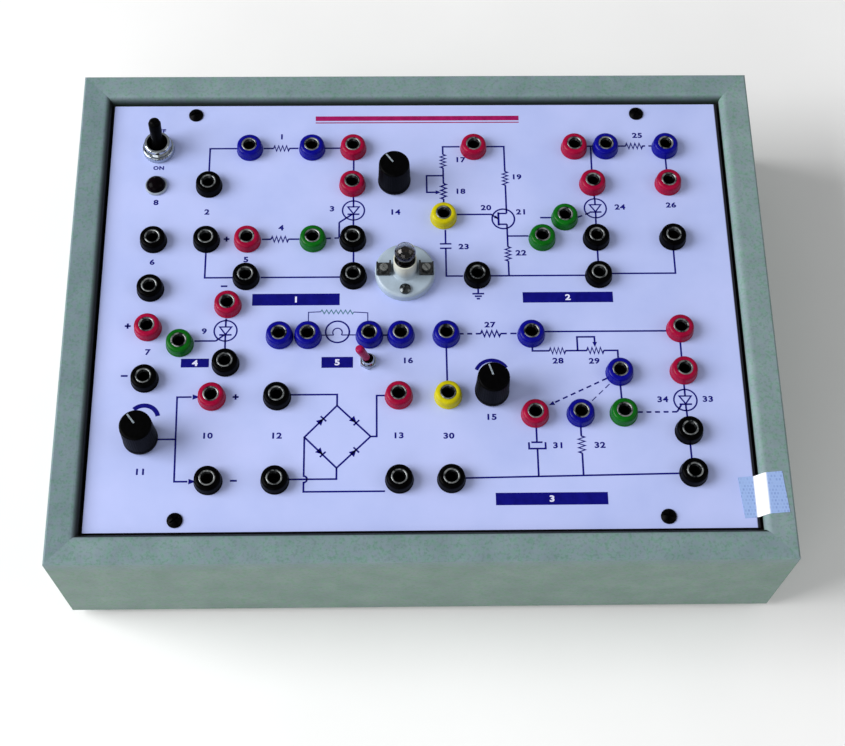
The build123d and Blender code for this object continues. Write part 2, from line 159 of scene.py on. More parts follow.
def ink(path, width=0.6, closed=False):
    """A printed line lying on the panel: every point of the path goes half the width to either
    side along the mitre of its two runs, at the ink's lower and upper face."""
    path = np.asarray(path, float)
    run = np.roll(path, -1, axis=0) - path
    if not closed:
        run[-1] = run[-2]
    run /= np.linalg.norm(run, axis=1, keepdims=True)
    before = np.roll(run, 1, axis=0)
    if not closed:
        before[0] = run[0]
    across = np.stack([-run[:, 1], run[:, 0]], -1)
    across_before = np.stack([-before[:, 1], before[:, 0]], -1)
    lean = 1 + np.sum(across * across_before, axis=1, keepdims=True)
    mitre = (across + across_before) / np.maximum(lean, 0.35) * width / 2
    points = np.empty((len(path), 4, 3))
    points[:, :, :2] = np.stack([path + mitre, path - mitre, path - mitre, path + mitre], 1)
    points[:, :, 2] = panel_top + np.array([0, 0, ink_height, ink_height])
    faces = [grid_faces(len(path), 4, closed, True)]
    if not closed:
        last = 4 * (len(path) - 1)
        faces.append(np.array([[0, 1, 2, 3], [last + 3, last + 2, last + 1, last]]))
    return points.reshape(-1, 3), faces


def stamp(corners, low=0.0, high=ink_height):
    """A printed patch: its outline at the ink's lower and upper face, each closed by a fan."""
    corners = np.asarray(corners, float)
    points = np.empty((4, len(corners), 3))
    points[:, :, :2] = corners
    points[[0, 3], :, :2] = corners.mean(axis=0)
    points[:, :, 2] = panel_top + np.array([low, low, high, high])[:, None]
    return points.reshape(-1, 3), [grid_faces(4, len(corners), False, True)]


def circle(middle, radius, start=0.0, end=360.0, steps=40):
    """Points of an arc: middle plus radius times (cos a, sin a)."""
    angle = np.radians(np.linspace(start, end, steps, endpoint=end - start < 359.9))
    return np.stack([middle[0] + radius * np.cos(angle), middle[1] + radius * np.sin(angle)], -1)


def numerals(words, middle, height, low=0.0, high=ink_height, stretch=1.25, weight=0.035):
    """Printed figures: the outlines of the built-in font, filled and raised to the ink's
    thickness, widened by stretch and set about their own middle."""
    curve = bpy.data.curves.new("figures", "FONT")
    curve.body = words
    curve.extrude = 0.5
    curve.offset = weight
    curve.resolution_u = 3
    curve.space_character = 1.1
    holder = bpy.data.objects.new("figures", curve)
    bpy.context.scene.collection.objects.link(holder)
    ready = holder.evaluated_get(bpy.context.evaluated_depsgraph_get())
    mesh = bpy.data.meshes.new_from_object(ready)
    points = np.empty(len(mesh.vertices) * 3)
    mesh.vertices.foreach_get("co", points)
    points = points.reshape(-1, 3)
    mesh.calc_loop_triangles()
    triangles = np.empty(len(mesh.loop_triangles) * 3, int)
    mesh.loop_triangles.foreach_get("vertices", triangles)
    bpy.data.objects.remove(holder)
    lowest, highest = points.min(axis=0), points.max(axis=0)
    points = points - (lowest + highest) / 2
    scale = height / (highest[1] - lowest[1])
    points *= [scale * stretch, scale, 1]
    points += [middle[0], middle[1], 0]
    points[:, 2] = panel_top + np.where(points[:, 2] > 0, high, low)
    return points, [triangles.reshape(-1, 3)]


def placed(shape, place, matrix=None):
    """The shape turned by a matrix about its own origin and moved to a place."""
    points, faces = shape
    if matrix is not None:
        points = points @ np.array(matrix).T
    return points + np.asarray(place, float), faces


# Turns about the three axes, in degrees


def turn_x(angle):
    return np.array(Matrix.Rotation(radians(angle), 3, "X"))


def turn_y(angle):
    return np.array(Matrix.Rotation(radians(angle), 3, "Y"))


def turn_z(angle):
    return np.array(Matrix.Rotation(radians(angle), 3, "Z"))


# Pieces


def add_piece(name, shapes, finish, body, replaces=(), crease=35.0):
    """Joins the shapes into one mesh in metres, closes its seams and poles, and lets it ride a
    body. Edges sharper than crease, in degrees, stay crisp."""
    points = np.concatenate([shape_points for shape_points, _ in shapes]) * MM
    faces = []
    start = 0
    for shape_points, blocks in shapes:
        for block in blocks:
            faces.extend((block + start).tolist())
        start += len(shape_points)
    mesh = bpy.data.meshes.new(name)
    mesh.from_pydata(points, [], faces)
    work = bmesh.new()
    work.from_mesh(mesh)
    bmesh.ops.remove_doubles(work, verts=work.verts, dist=2e-7)
    bmesh.ops.dissolve_degenerate(work, edges=work.edges, dist=1e-8)
    bmesh.ops.recalc_face_normals(work, faces=work.faces)
    work.to_mesh(mesh)
    work.free()
    mesh.shade_smooth()
    mesh.set_sharp_from_angle(angle=radians(crease))
    mesh.materials.append(finish)
    piece = bpy.data.objects.new(name, mesh)
    bpy.context.scene.collection.objects.link(piece)
    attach(piece, body)
    if replaces:
        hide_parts(*replaces)
    return piece


def add_turned(
    name, profile, place, finish, slot, node, body="case", turn=None, crease=35.0, **turning
):
    """Adds a piece turned from a profile on the lathe, which stands for one CAD node."""
    shape = placed(lathe(profile, **turning), place, turn)
    return add_piece(name, [shape], finish, body, [node], crease)


def four_corners(x, y, z):
    """The four places at plus and minus x and y."""
    return [np.array((side_x * x, side_y * y, z)) for side_x in (-1, 1) for side_y in (-1, 1)]


# Finishes


def linear(colour):
    """An sRGB hex colour as linear RGBA: c / 12.92 when dark, else ((c + 0.055) / 1.055)^2.4."""
    srgb = np.array([int(colour[i : i + 2], 16) for i in (1, 3, 5)]) / 255
    light = np.where(srgb <= 0.04045, srgb / 12.92, ((srgb + 0.055) / 1.055) ** 2.4)
    return (*light.tolist(), 1.0)


def add_node(tree, kind, settings=None, links=None, stops=(), **choices):
    """Adds a node: choices are its own properties, settings its sockets' values, links the
    (node, output) that feeds each socket, and stops a ramp's (position, hex colour) pairs."""
    node = tree.nodes.new("ShaderNode" + kind)
    for choice, value in choices.items():
        setattr(node, choice, value)
    for socket, value in (settings or {}).items():
        node.inputs[socket].default_value = value
    for socket, (source, output) in (links or {}).items():
        tree.links.new(source.outputs[output], node.inputs[socket])
    if stops:
        stops = list(stops)
        band = node.color_ramp.elements
        band.remove(band[1])
        band[0].position = stops[0][0]
        band[0].color = linear(stops[0][1])
        for position, colour in stops[1:]:
            band.new(position).color = linear(colour)
    return node


def bare_finish(name, **shader):
    """A material with its shader, and the node that gives places on the object."""
    material = bpy.data.materials.new(name)
    material.use_nodes = True
    tree = material.node_tree
    principled = tree.nodes["Principled BSDF"]
    for socket, value in shader.items():
        principled.inputs[socket.replace("_", " ")].default_value = value
    place = add_node(tree, "TexCoord")
    return material, tree, principled, place


def surface(tree, principled, colour, gloss_noise, roughness, height, bump, strength=1.0):
    """Feeds the shader its colour, a gloss that wanders between two roughnesses, and a bump in
    millimetres. Colour, noise and height are each a (node, output)."""
    gloss = add_node(
        tree, "MapRange",
        settings={"From Min": 0.3, "From Max": 0.7, "To Min": roughness[0], "To Max": roughness[1]},
        links={"Value": gloss_noise},
    )
    relief = add_node(
        tree, "Bump", settings={"Strength": strength, "Distance": bump * MM}, links={"Height": height}
    )
    feeds = {"Base Color": colour, "Roughness": (gloss, "Result"), "Normal": (relief, "Normal")}
    for socket, (node, output) in feeds.items():
        tree.links.new(node.outputs[output], principled.inputs[socket])


# Where two or three colours stand on the ramp of a noise, which seldom leaves 0.3 to 0.7
ramp_places = {2: (0.35, 0.65), 3: (0.3, 0.5, 0.7)}


def patterned(
    name, colours, grain, roughness, bump, fine=None, stretch=(1, 1, 1), colours_at=None, **shader
):
    """A finish whose colour wanders through two or three colours with a noise of the given
    grain, whose gloss wanders between two roughnesses, and whose bump comes from a finer noise.
    Grain, fine and bump are in millimetres; stretch turns the noise into streaks."""
    material, tree, principled, place = bare_finish(name, **shader)
    spread = add_node(
        tree, "Mapping", settings={"Scale": stretch}, links={"Vector": (place, "Object")}
    )
    tone = add_node(
        tree, "TexNoise", settings={"Scale": 1 / (grain * MM), "Detail": 4.0, "Roughness": 0.6},
        links={"Vector": (spread, "Vector")},
    )
    fine_tone = add_node(
        tree, "TexNoise", settings={"Scale": 1 / ((fine or grain / 4) * MM), "Detail": 2.0},
        links={"Vector": (spread, "Vector")},
    )
    stops = zip(colours_at or ramp_places[len(colours)], colours)
    colour = add_node(tree, "ValToRGB", links={"Fac": (tone, "Fac")}, stops=stops)
    fine_noise = (fine_tone, "Fac")
    surface(tree, principled, (colour, "Color"), fine_noise, roughness, fine_noise, bump)
    return material


def make_laminate(name, tones, axis, shade_limit, clear_from, clear_above):
    """Mottled high-pressure laminate: a cool grey-green print in soft patches 14 mm across, with
    a mottle of 2 mm, greener and more violet by turns, and faint darker flecks of 1 mm, under an
    even, finely pebbled press texture that breaks up the highlights. The board's inner edge is
    painted near black, as painted shade, out to its shade limit along an axis, which fades to
    plain laminate at clear_from; above clear_above it is plain anyway."""
    material, tree, principled, place = bare_finish(name, Specular_IOR_Level=0.3)
    feed = {"Vector": (place, "Object")}
    patches = add_node(
        tree, "TexNoise", settings={"Scale": 1 / (14 * MM), "Detail": 5.0, "Roughness": 0.6},
        links=feed,
    )
    flecks = add_node(
        tree, "TexNoise", settings={"Scale": 1 / (1.1 * MM), "Detail": 3.0}, links=feed
    )
    pebbles = add_node(tree, "TexVoronoi", settings={"Scale": 1 / (0.9 * MM)}, links=feed)
    ground = add_node(
        tree, "ValToRGB", links={"Fac": (patches, "Fac")}, stops=zip(ramp_places[3], tones),
    )
    fleck = add_node(
        tree, "ValToRGB", links={"Fac": (flecks, "Fac")},
        stops=[(0.34, "#ECEFEC"), (0.5, "#FFFFFF")],
    )
    mottle = add_node(
        tree, "TexNoise", settings={"Scale": 1 / (2.2 * MM), "Detail": 3.0}, links=feed
    )
    hue = add_node(
        tree, "ValToRGB", links={"Fac": (mottle, "Fac")},
        stops=[(0.36, "#ECFFEE"), (0.5, "#FBFBFB"), (0.64, "#FFF6FF")],
    )
    shaded = (ground, "Color")
    for wash in (hue, fleck):
        washed = add_node(
            tree, "Mix", settings={"Factor": 1.0}, links={"A": shaded, "B": (wash, "Color")},
            data_type="RGBA", blend_type="MULTIPLY",
        )
        shaded = (washed, "Result")
    axes = add_node(tree, "SeparateXYZ", links=feed)
    past_edge = add_node(
        tree, "MapRange", settings={"From Min": shade_limit * MM, "From Max": clear_from * MM},
        links={"Value": (axes, axis)},
    )
    above_edge = add_node(
        tree, "MapRange",
        settings={"From Min": (clear_above - 0.2) * MM, "From Max": clear_above * MM},
        links={"Value": (axes, "Z")},
    )
    on_rim = add_node(
        tree, "Math", links={0: (past_edge, "Result"), 1: (above_edge, "Result")},
        operation="MAXIMUM",
    )
    # Painted shade: near black over the board's inner edge and up its rounding, where the mask allows
    painted_shade_mix = add_node(
        tree, "Mix", settings={"A": linear("#0C120F")},
        links={"Factor": (on_rim, "Value"), "B": shaded}, data_type="RGBA",
    )
    surface(
        tree, principled, (painted_shade_mix, "Result"), (flecks, "Fac"), (0.5, 0.62), (pebbles, "Distance"),
        bump=0.03, strength=0.5,
    )
    return material


def tint_past(material, full, clear, tint, axis="Z"):
    """Multiplies the finish's colour by a tint on the far side of full along an axis of the
    object, fading to the plain finish at clear, both in millimetres."""
    tree = material.node_tree
    principled = tree.nodes["Principled BSDF"]
    plain = principled.inputs["Base Color"].links[0].from_socket
    place = add_node(tree, "TexCoord")
    axes = add_node(tree, "SeparateXYZ", links={"Vector": (place, "Object")})
    reach = add_node(
        tree, "MapRange", settings={"From Min": full * MM, "From Max": clear * MM},
        links={"Value": (axes, axis)},
    )
    wash = add_node(
        tree, "ValToRGB", links={"Fac": (reach, "Result")}, stops=[(0.0, tint), (1.0, "#FFFFFF")],
    )
    washed = add_node(
        tree, "Mix", settings={"Factor": 1.0}, links={"B": (wash, "Color")}, data_type="RGBA",
        blend_type="MULTIPLY",
    )
    tree.links.new(plain, washed.inputs["A"])
    tree.links.new(washed.outputs["Result"], principled.inputs["Base Color"])


# The case's inner faces, and a height above the rim, for boards whose painted shade reaches all the way
# up
inner_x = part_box("case_right_board")[0].x / MM
inner_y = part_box("case_back_board")[0].y / MM
no_clear_height = case_top + 5

# Each board's greens differ by a shade, the left board's darker and the right board's lighter,
# and the painted shade on its inner edge, near black, reaches up the rounding by its own amount
middle_tones = ("#71898A", "#788F92", "#7F9698")
left_tones = ("#687F83", "#6F858A", "#758B90")
right_tones = ("#788F8F", "#7F9597", "#869C9D")
board_looks = {
    "front": (middle_tones, "Y", -inner_y - 1.1, -inner_y - 1.6, no_clear_height),
    "back": (middle_tones, "Y", inner_y - 0.4, inner_y + 1.7, no_clear_height),
    "left": (left_tones, "X", -inner_x - 0.5, -inner_x - 2.3, no_clear_height),
    "right": (right_tones, "X", inner_x + 0.05, inner_x + 0.2, panel_top + 0.1),
}
laminates = {side: make_laminate(f"{side}_laminate", *look) for side, look in board_looks.items()}
# Light reaches the boards' faces a little yellower than their tops
for board_finish in laminates.values():
    tint_past(board_finish, 60.0, 69.0, "#FFFFEE")

# Screen-printed sheet with a satin clear coat: cool lavender, faintly uneven, soft highlights.
# Its edges and underside below the face are painted near black, painted shade for the gap round
# the panel, and a dark line painted along its right edge is painted shade there too
panel_print = patterned(
    "screen_printed_sheet", ("#AFBCF0", "#B6C2F4", "#BCC6F8"), grain=40, roughness=(0.36, 0.46),
    bump=0.01, fine=1.2,
)
# Painted shade: the sheet's edges and underside, below its face, near black
tint_past(panel_print, panel_top - 0.2, panel_top - 0.1, "#181A18")
# Painted shade: a dark line along the panel's right edge
right_shade_from = 134.7
tint_past(panel_print, right_shade_from + 0.4, right_shade_from, "#0E1018", axis="X")

# Screen inks: flat colour, a little glossier than the sheet, with slightly uneven cover
navy_ink = patterned(
    "navy_screen_ink", ("#02026C", "#08087A"), 3.0, (0.35, 0.45), 0.005, Specular_IOR_Level=0.15,
)
magenta_ink = patterned(
    "magenta_screen_ink", ("#8E0A50", "#A2165E"), 3.0, (0.35, 0.45), 0.005, Specular_IOR_Level=0.15,
)
teal_ink = patterned("teal_screen_ink", ("#3D6E86", "#4C7C92"), 3.0, (0.3, 0.42), 0.005)
white_ink = patterned("white_screen_ink", ("#D6D8F6", "#E6E8FF"), 3.0, (0.3, 0.42), 0.005)


def moulded(name, dark, light, gloss=0.14):
    """Moulded ABS: even colour with faint flow marks and a soft gloss that shows the mould's
    polish."""
    return patterned(
        name, (dark, light), 4.0, (0.24, 0.34), 0.006, fine=0.5, Specular_IOR_Level=gloss,
    )


socket_plastic = {
    "black": moulded("black_moulded_plastic", "#010101", "#030304", gloss=0.025),
    "red": moulded("red_moulded_plastic", "#88002C", "#9E0436"),
    "blue": moulded("blue_moulded_plastic", "#00007A", "#040488"),
    "green": moulded("green_moulded_plastic", "#015208", "#046210"),
    "yellow": moulded("yellow_moulded_plastic", "#B4AA02", "#C8BE0C"),
}
# Dip-moulded vinyl sleeve on the small lever: deep crimson with the same soft gloss
sleeve_plastic = moulded("crimson_moulded_plastic", "#82003A", "#980444")
# Tumbled nickel over brass, worn by plugs: softly silver, with patches rubbed dark
tumbled_nickel = patterned(
    "tumbled_nickel", ("#26292C", "#84888A", "#A8ACAC"), 2.4, (0.36, 0.5), 0.01, fine=0.6,
    colours_at=(0.38, 0.5, 0.62), Metallic=1.0,
)
# Polished chrome plate: mirrors the room sharply, so it shows as black and white bands
chrome = patterned(
    "polished_chrome", ("#A0A8B0", "#BEC6CC"), 2.0, (0.08, 0.14), 0.002, Metallic=1.0
)
# Old bright plating: dark where it faces the room, with sharp glints on its bends
dark_chrome = patterned(
    "worn_bright_plating", ("#424446", "#5E6062"), 1.0, (0.08, 0.2), 0.01, Metallic=1.0
)
# Black phenolic moulding: near black with a close, slightly cloudy polish
phenolic = patterned(
    "black_phenolic", ("#010101", "#030304"), 2.5, (0.28, 0.4), 0.008, Specular_IOR_Level=0.035,
)
# Moulded ABS with a satin surface: a deep black that spreads its highlights over the flutes
knob_plastic = patterned(
    "satin_black_knob", ("#010101", "#030304"), 2.5, (0.34, 0.48), 0.01, Specular_IOR_Level=0.03,
)
# Hot-stamped paint, rubbed thin: a grey white that is paler where it lies thick
line_paint = patterned("grey_white_paint", ("#6E7A84", "#A2AEB8"), 1.0, (0.4, 0.55), 0.01)
# Smoked acrylic over an unlit lamp: almost black, with a hint of the red behind it
lens_plastic = patterned(
    "smoked_lens", ("#040204", "#0A0408"), 2.0, (0.2, 0.3), 0.002, Specular_IOR_Level=0.03,
)
# Painted grey bezel: a pale, smooth edge that sets the lens off from the panel
bezel_plastic = patterned("grey_bezel", ("#8A94A4", "#9CA6B6"), 2.0, (0.25, 0.35), 0.004)
# Moulded urea: creamy and slightly cloudy; bluer and darker low down, painted reflected light of the
# panel
urea_plastic = patterned(
    "pale_urea_moulding", ("#C0C2B4", "#CACCBE", "#D2D3C6"), 6.0, (0.3, 0.42), 0.01,
)
# Painted reflected light: the lower part tinted bluer and darker, as the lavender panel lights it
tint_past(urea_plastic, panel_top + 5.0, panel_top + 11.0, "#CADCFF")
# Zinc-plated steel: bright grey with a fine crystalline unevenness
plated_steel = patterned(
    "zinc_plated_steel", ("#8E9292", "#B4B8B6"), 1.2, (0.2, 0.36), 0.01, Metallic=1.0
)
# Steel screws whose zinc has dulled to grey, bright only where the light strikes straight back
dulled_steel = patterned(
    "dulled_steel", ("#3C4042", "#5A5E60"), 1.0, (0.16, 0.26), 0.01, Metallic=1.0
)
# Black-oxide steel: a dense oily black that hardly glints
black_steel = patterned(
    "black_oxide_steel", ("#010101", "#040405"), 1.2, (0.3, 0.42), 0.008, Specular_IOR_Level=0.03,
)
# Lacquered brass: warm yellow, brushed soft by handling
brass = patterned("lacquered_brass", ("#8C7440", "#B49A60"), 1.5, (0.2, 0.34), 0.006, Metallic=1.0)
# Nickel gone dull on the bulb's cap and the shell, dark grey, which also paints the shade down
# the holder's collar; bright only on the threads
dark_nickel_and_shade = patterned(
    "dark_nickel_and_shade", ("#202224", "#34363A"), 1.0, (0.24, 0.4), 0.008, Metallic=1.0
)
# Brass gone dark inside the sockets, near black down the funnel and bore, which also paints the
# shade of the socket's hole; a glint where the light reaches the wall
tarnish_and_shade = patterned("tarnished_and_shaded_brass", ("#2A2C2E", "#404244"), 1.0, (0.18, 0.3), 0.01, Metallic=1.0)
# Drawn tungsten: a dull grey wire
tungsten = patterned("tungsten_wire", ("#5A5A5E", "#74747A"), 0.4, (0.3, 0.4), 0.002, Metallic=1.0)
# Soda glass, clear at the back, where the pale base shows through, and grey-brown towards the
# front, painted shade for the dark inside seen through the glass; sharp glints
bulb_glass = patterned(
    "front_shaded_bulb_glass", ("#DCE0DC", "#E6EAE6"), 6.0, (0.0, 0.03), 0.001,
    Transmission_Weight=1.0, IOR=1.5,
)
# Painted shade: the glass darkens towards the front
bulb_y = middle_of("bulb_glass")[1]
tint_past(bulb_glass, bulb_y - 0.6, bulb_y + 2.2, "#5C4A48", axis="Y")

# Moulded rubber: matt charcoal with a dusty grain
rubber = patterned("black_rubber", ("#101112", "#1C1D1E"), 2.0, (0.6, 0.8), 0.05)
# Tempered hardboard: brown pressed fibres, flecked light and dark
hardboard = patterned(
    "tempered_hardboard", ("#5A3E28", "#6C4C32", "#7A583C"), 2.5, (0.55, 0.75), 0.05,
)
# Softwood coloured near black, painted shade so that the gap round the panel looks empty
pine_dark_as_shade = patterned(
    "pine_dark_as_shade", ("#14110D", "#1C1813", "#241F18"), 5.0, (0.55, 0.7), 0.05, stretch=(0.12, 1, 1),
)
# Stacked transformer plates: thin grey lines, one for each sheet's edge, drawn coarse to show
core_steel = patterned(
    "stacked_core_steel", ("#4A4C4E", "#6C6E70"), 3.0, (0.35, 0.5), 0.05, stretch=(0.1, 4, 0.1),
    Metallic=1.0,
)
# Polyester tape round the coil: amber, smooth and a little wrinkled
coil_tape = patterned("coil_tape", ("#A8861C", "#C09C2C"), 4.0, (0.25, 0.4), 0.03)
# Glass laminate under green solder mask: even, glossy, darker over the copper
circuit_laminate = patterned("green_circuit_board", ("#0F4A26", "#186034"), 3.0, (0.25, 0.4), 0.02)
# Natural nylon: milky white with a soft sheen
nylon = patterned("white_nylon", ("#CFCFC6", "#E0E0D8"), 3.0, (0.35, 0.5), 0.02)
# Shrunk vinyl film on the capacitors: dark blue and shiny
sleeve_film = patterned("capacitor_sleeve", ("#131A3A", "#1D264C"), 3.0, (0.2, 0.3), 0.01)
# Mill-finish aluminium: pale grey, drawn slightly streaky
aluminium = patterned(
    "mill_aluminium", ("#9A9CA0", "#B4B6BA"), 2.0, (0.28, 0.42), 0.01, Metallic=1.0
)


def make_seal_paper():
    """Printed seal paper: matt and faintly fibrous, washed pale blue under rows of small blue
    marks, with a white band free of marks where it bridges the gap, a painted highlight for the
    light that the slope there catches."""
    paper = patterned("seal_paper", ("#F4F6FF", "#FFFFFF"), 5.0, (0.6, 0.8), 0.03, fine=0.6)
    tree = paper.node_tree
    principled = tree.nodes["Principled BSDF"]
    plain = principled.inputs["Base Color"].links[0].from_socket
    place = add_node(tree, "TexCoord")
    marks = add_node(
        tree, "TexBrick",
        settings={
            "Color1": linear("#8098D2"), "Color2": linear("#98B2E4"), "Mortar": linear("#98B4E6"),
            "Scale": 1 / MM, "Brick Width": 1.3, "Row Height": 1.5, "Mortar Size": 0.3,
        },
        links={"Vector": (place, "Object")},
    )
    axes = add_node(tree, "SeparateXYZ", links={"Vector": (place, "Object")})
    band_from, band_to = 134.0, 142.0
    across = add_node(
        tree, "MapRange", settings={"From Min": band_from * MM, "From Max": band_to * MM},
        links={"Value": (axes, "X")},
    )
    # Painted highlight: a white band without marks across the slope over the gap
    highlight_band = add_node(
        tree, "ValToRGB", links={"Fac": (across, "Result")},
        stops=[(0.1, "#000000"), (0.16, "#FFFFFF"), (0.66, "#FFFFFF"), (0.76, "#000000")],
    )
    printed_paper = add_node(
        tree, "Mix", links={"Factor": (highlight_band, "Color"), "A": (marks, "Color")}, data_type="RGBA",
    )
    tree.links.new(plain, printed_paper.inputs["B"])
    tree.links.new(printed_paper.outputs["Result"], principled.inputs["Base Color"])
    return paper


paper = make_seal_paper()


# The camera, fitted to the photo's edges, and the light

view = bpy.data.cameras.new("camera")
view.lens = 67.216
view.sensor_width = 36.0
view.clip_end = 20.0
camera = bpy.data.objects.new("camera", view)
forward = Vector((0.01813, 0.40982, -0.91199)).normalized()
right = Vector((0.99981, -0.01361, 0.01376)).normalized()
up = right.cross(forward)
camera.matrix_world = Matrix.Translation(Vector((-11.06, -302.44, 668.64)) * MM) @ Matrix(
    (right, up, -forward)
).transposed().to_4x4()
bpy.context.scene.collection.objects.link(camera)
bpy.context.scene.camera = camera


def add_softbox(name, place, aim, size, power):
    """A square area light at a place in metres, turned to look at its aim."""
    light = bpy.data.lights.new(name, "AREA")
    light.size = size
    light.energy = power
    box = bpy.data.objects.new(name, light)
    look = (Vector(aim) - Vector(place)).to_track_quat("-Z", "Y")
    box.matrix_world = Matrix.Translation(Vector(place)) @ look.to_matrix().to_4x4()
    bpy.context.scene.collection.objects.link(box)


# A strong lamp at the left, with weak ones in front and at the right that lift the shadows
add_softbox("key", (-2.1, -0.1, 1.5), (0, 0, 0.05), 1.7, 79.0)
add_softbox("front", (-0.8, -1.7, 0.8), (0, 0, 0.05), 1.3, 8.0)
add_softbox("side", (2.2, -0.4, 1.6), (0, 0, 0.05), 1.6, 10.0)

sky = bpy.data.worlds.new("studio")
sky.use_nodes = True
sky.node_tree.nodes["Background"].inputs["Color"].default_value = (1, 1, 1, 1)
sky.node_tree.nodes["Background"].inputs["Strength"].default_value = 0.3
bpy.context.scene.world = sky
bpy.context.scene.view_settings.view_transform = "Standard"

# A pale matt bench top, which takes soft shadows
floor_mesh = bpy.data.meshes.new("floor")
floor_half = 4.0
floor_corners = [
    (sx * floor_half, sy * floor_half, 0) for sx, sy in ((-1, -1), (1, -1), (1, 1), (-1, 1))
]
floor_mesh.from_pydata(floor_corners, [], [(0, 1, 2, 3)])
floor_mesh.materials.append(
    patterned("pale_floor", ("#F4F4F4", "#FAFAFA"), 300.0, (0.8, 0.9), 0.01)
)
floor = bpy.data.objects.new("floor", floor_mesh)
bpy.context.scene.collection.objects.link(floor)


# CAD nodes whose shape stays get their finish

kept_nodes = [(finish, [f"case_{side}_board"]) for side, finish in laminates.items()] + [
    (panel_print, ["panel"]),
    (hardboard, ["base_board"]),
    (pine_dark_as_shade, ["corner_blocks", "panel_battens"]),
    (plated_steel, ["foot_screws", "pot_bodies", "pot_nuts", "transformer_bracket", "bulb_contact"]),
    (plated_steel, ["gate_shaft", "volts_shaft", "rc_shaft"]),
    (phenolic, ["power_switch_body", "load_switch_body", "bulb_stem"]),
    (core_steel, ["transformer_core"]),
    (coil_tape, ["transformer_coil"]),
    (circuit_laminate, ["circuit_board"]),
    (nylon, ["board_standoffs"]),
    (sleeve_film, ["board_capacitors"]),
    (aluminium, ["regulator_sink"]),
    (dark_nickel_and_shade, ["lamp_shell"]),
    (brass, ["lamp_contact"]),
]
for finish, nodes in kept_nodes:
    for node in nodes:
        materials = frame["nodes"][node].data.materials
        materials.clear()
        materials.append(finish)


# Banana sockets

socket_places = {}
for colour in socket_plastic:
    socket_places[colour] = [
        (mount["pos_m"][0] / MM, mount["pos_m"][1] / MM, panel_top)
        for mount in frame["record"]["mounts"]
        if mount["name"].startswith(f"{colour}_socket")
    ]

head = lathe(softened([
    (3.42, 0.0, 0), (5.88, 0.0, 0.15), (5.88, 0.9, 0.25), (5.66, 1.1, 0.1), (5.4, 5.0, 1.4),
    (3.42, 5.0, 0.2),
]), sides=36)
ring = lathe(softened([
    (2.6, 2.6, 0), (3.4, 2.6, 0.1), (3.4, 5.0, 0.3), (2.72, 5.0, 0.3), (2.6, 4.6, 0),
]), sides=32)
sleeve = lathe([
    (0.0, -13.0), (2.5, -13.0), (2.5, 2.6), (2.62, 2.6), (2.62, 4.75), (2.0, 3.9), (2.0, -12.0),
    (0.0, -12.0),
], sides=32, joined=False)
for colour, places in socket_places.items():
    add_piece(
        f"{colour}_heads", [placed(head, place) for place in places], socket_plastic[colour],
        "case", [f"{colour}_socket_heads"],
    )
all_places = [place for places in socket_places.values() for place in places]
add_piece(
    "socket_rings", [placed(ring, place) for place in all_places], tumbled_nickel, "case",
    ["socket_contacts"],
)
socket_sleeves = [placed(sleeve, place) for place in all_places]
add_piece("socket_sleeves", socket_sleeves, tarnish_and_shade, "case")


# Power switch


def thread(crest, root, bottom, top, step):
    """Outline of a screw thread: its root and crest by turns, a step apart in height."""
    height = np.arange(bottom, top, step)
    return np.stack([np.where(np.arange(len(height)) % 2, crest, root), height], -1)


switch_place = middle_of("power_switch_nut")
nut_profile = softened([
    (6.0, 0.0, 0), (7.1, 0.0, 0.15), (7.1, 2.2, 0.2), (6.6, 3.0, 0.3), (6.0, 3.0, 0.15),
])
knurl_depth = np.where((nut_profile[:, 0] > 6.9), 0.18, 0.0)
add_turned(
    "power_nut", nut_profile, switch_place, chrome, "chrome", "power_switch_nut", sides=144,
    waves=36, ripple=knurl_depth,
)
mouth = [(5.7, 6.1), (5.3, 6.5), (4.6, 6.5), (4.2, 6.0), (4.2, -3.0)]
bushing_profile = np.concatenate([thread(5.98, 5.7, -3.0, 5.6, 0.375), mouth])
add_turned(
    "power_bushing", bushing_profile, switch_place, chrome, "chrome", "power_switch_bushing",
    crease=50, sides=64,
)
collar_sleeve = lathe(
    [(3.3, -3.0), (4.18, -3.0), (4.18, 5.8), (4.0, 5.8), (4.0, 0.5), (3.3, 0.5)], 48
)
add_piece(
    "power_bushing_sleeve", [placed(collar_sleeve, switch_place)], phenolic, "case"
)
bat_profile = softened([
    (0.0, -7.0, 0), (1.6, -7.0, 0.3), (1.6, -3.0, 0.5), (2.7, -1.6, 0.8), (2.7, 1.7, 0.8),
    (2.45, 3.6, 0.8), (2.75, 10.6, 2.0), (2.75, 12.4, 1.0), (2.0, 14.5, 1.0), (0.0, 14.6, 0),
], steps=8)
# At rest the lever leans back, to OFF
add_turned(
    "bat_lever", bat_profile, switch_place + [0, 0, 4.0], phenolic, "switch_black", "power_lever",
    body="power_lever", turn=turn_x(-16), crease=60, sides=40, joined=False,
)


# Power lamp

lamp_spot = middle_of("power_lamp_bezel")
bezel_profile = softened([
    (3.4, -8.0, 0), (3.5, -8.0, 0), (3.5, 0.0, 0), (4.9, 0.0, 0.1), (4.9, 1.2, 0.6),
    (4.3, 1.2, 0.1), (3.4, 0.6, 0),
])
add_turned(
    "lamp_bezel", bezel_profile, lamp_spot, bezel_plastic, "chrome", "power_lamp_bezel", sides=48
)
lens_angle = np.radians(np.linspace(0, 90, 10))
lens_profile = np.concatenate([
    [(0.0, -6.0), (2.8, -6.0), (2.8, 0.9), (4.1, 0.9)],
    np.stack([4.1 * np.cos(lens_angle), 1.3 + 3.0 * np.sin(lens_angle)], -1),
])
add_turned(
    "lamp_lens", lens_profile, lamp_spot, lens_plastic, "switch_black", "power_lamp_lens", sides=40,
    joined=False,
)


# Load switch

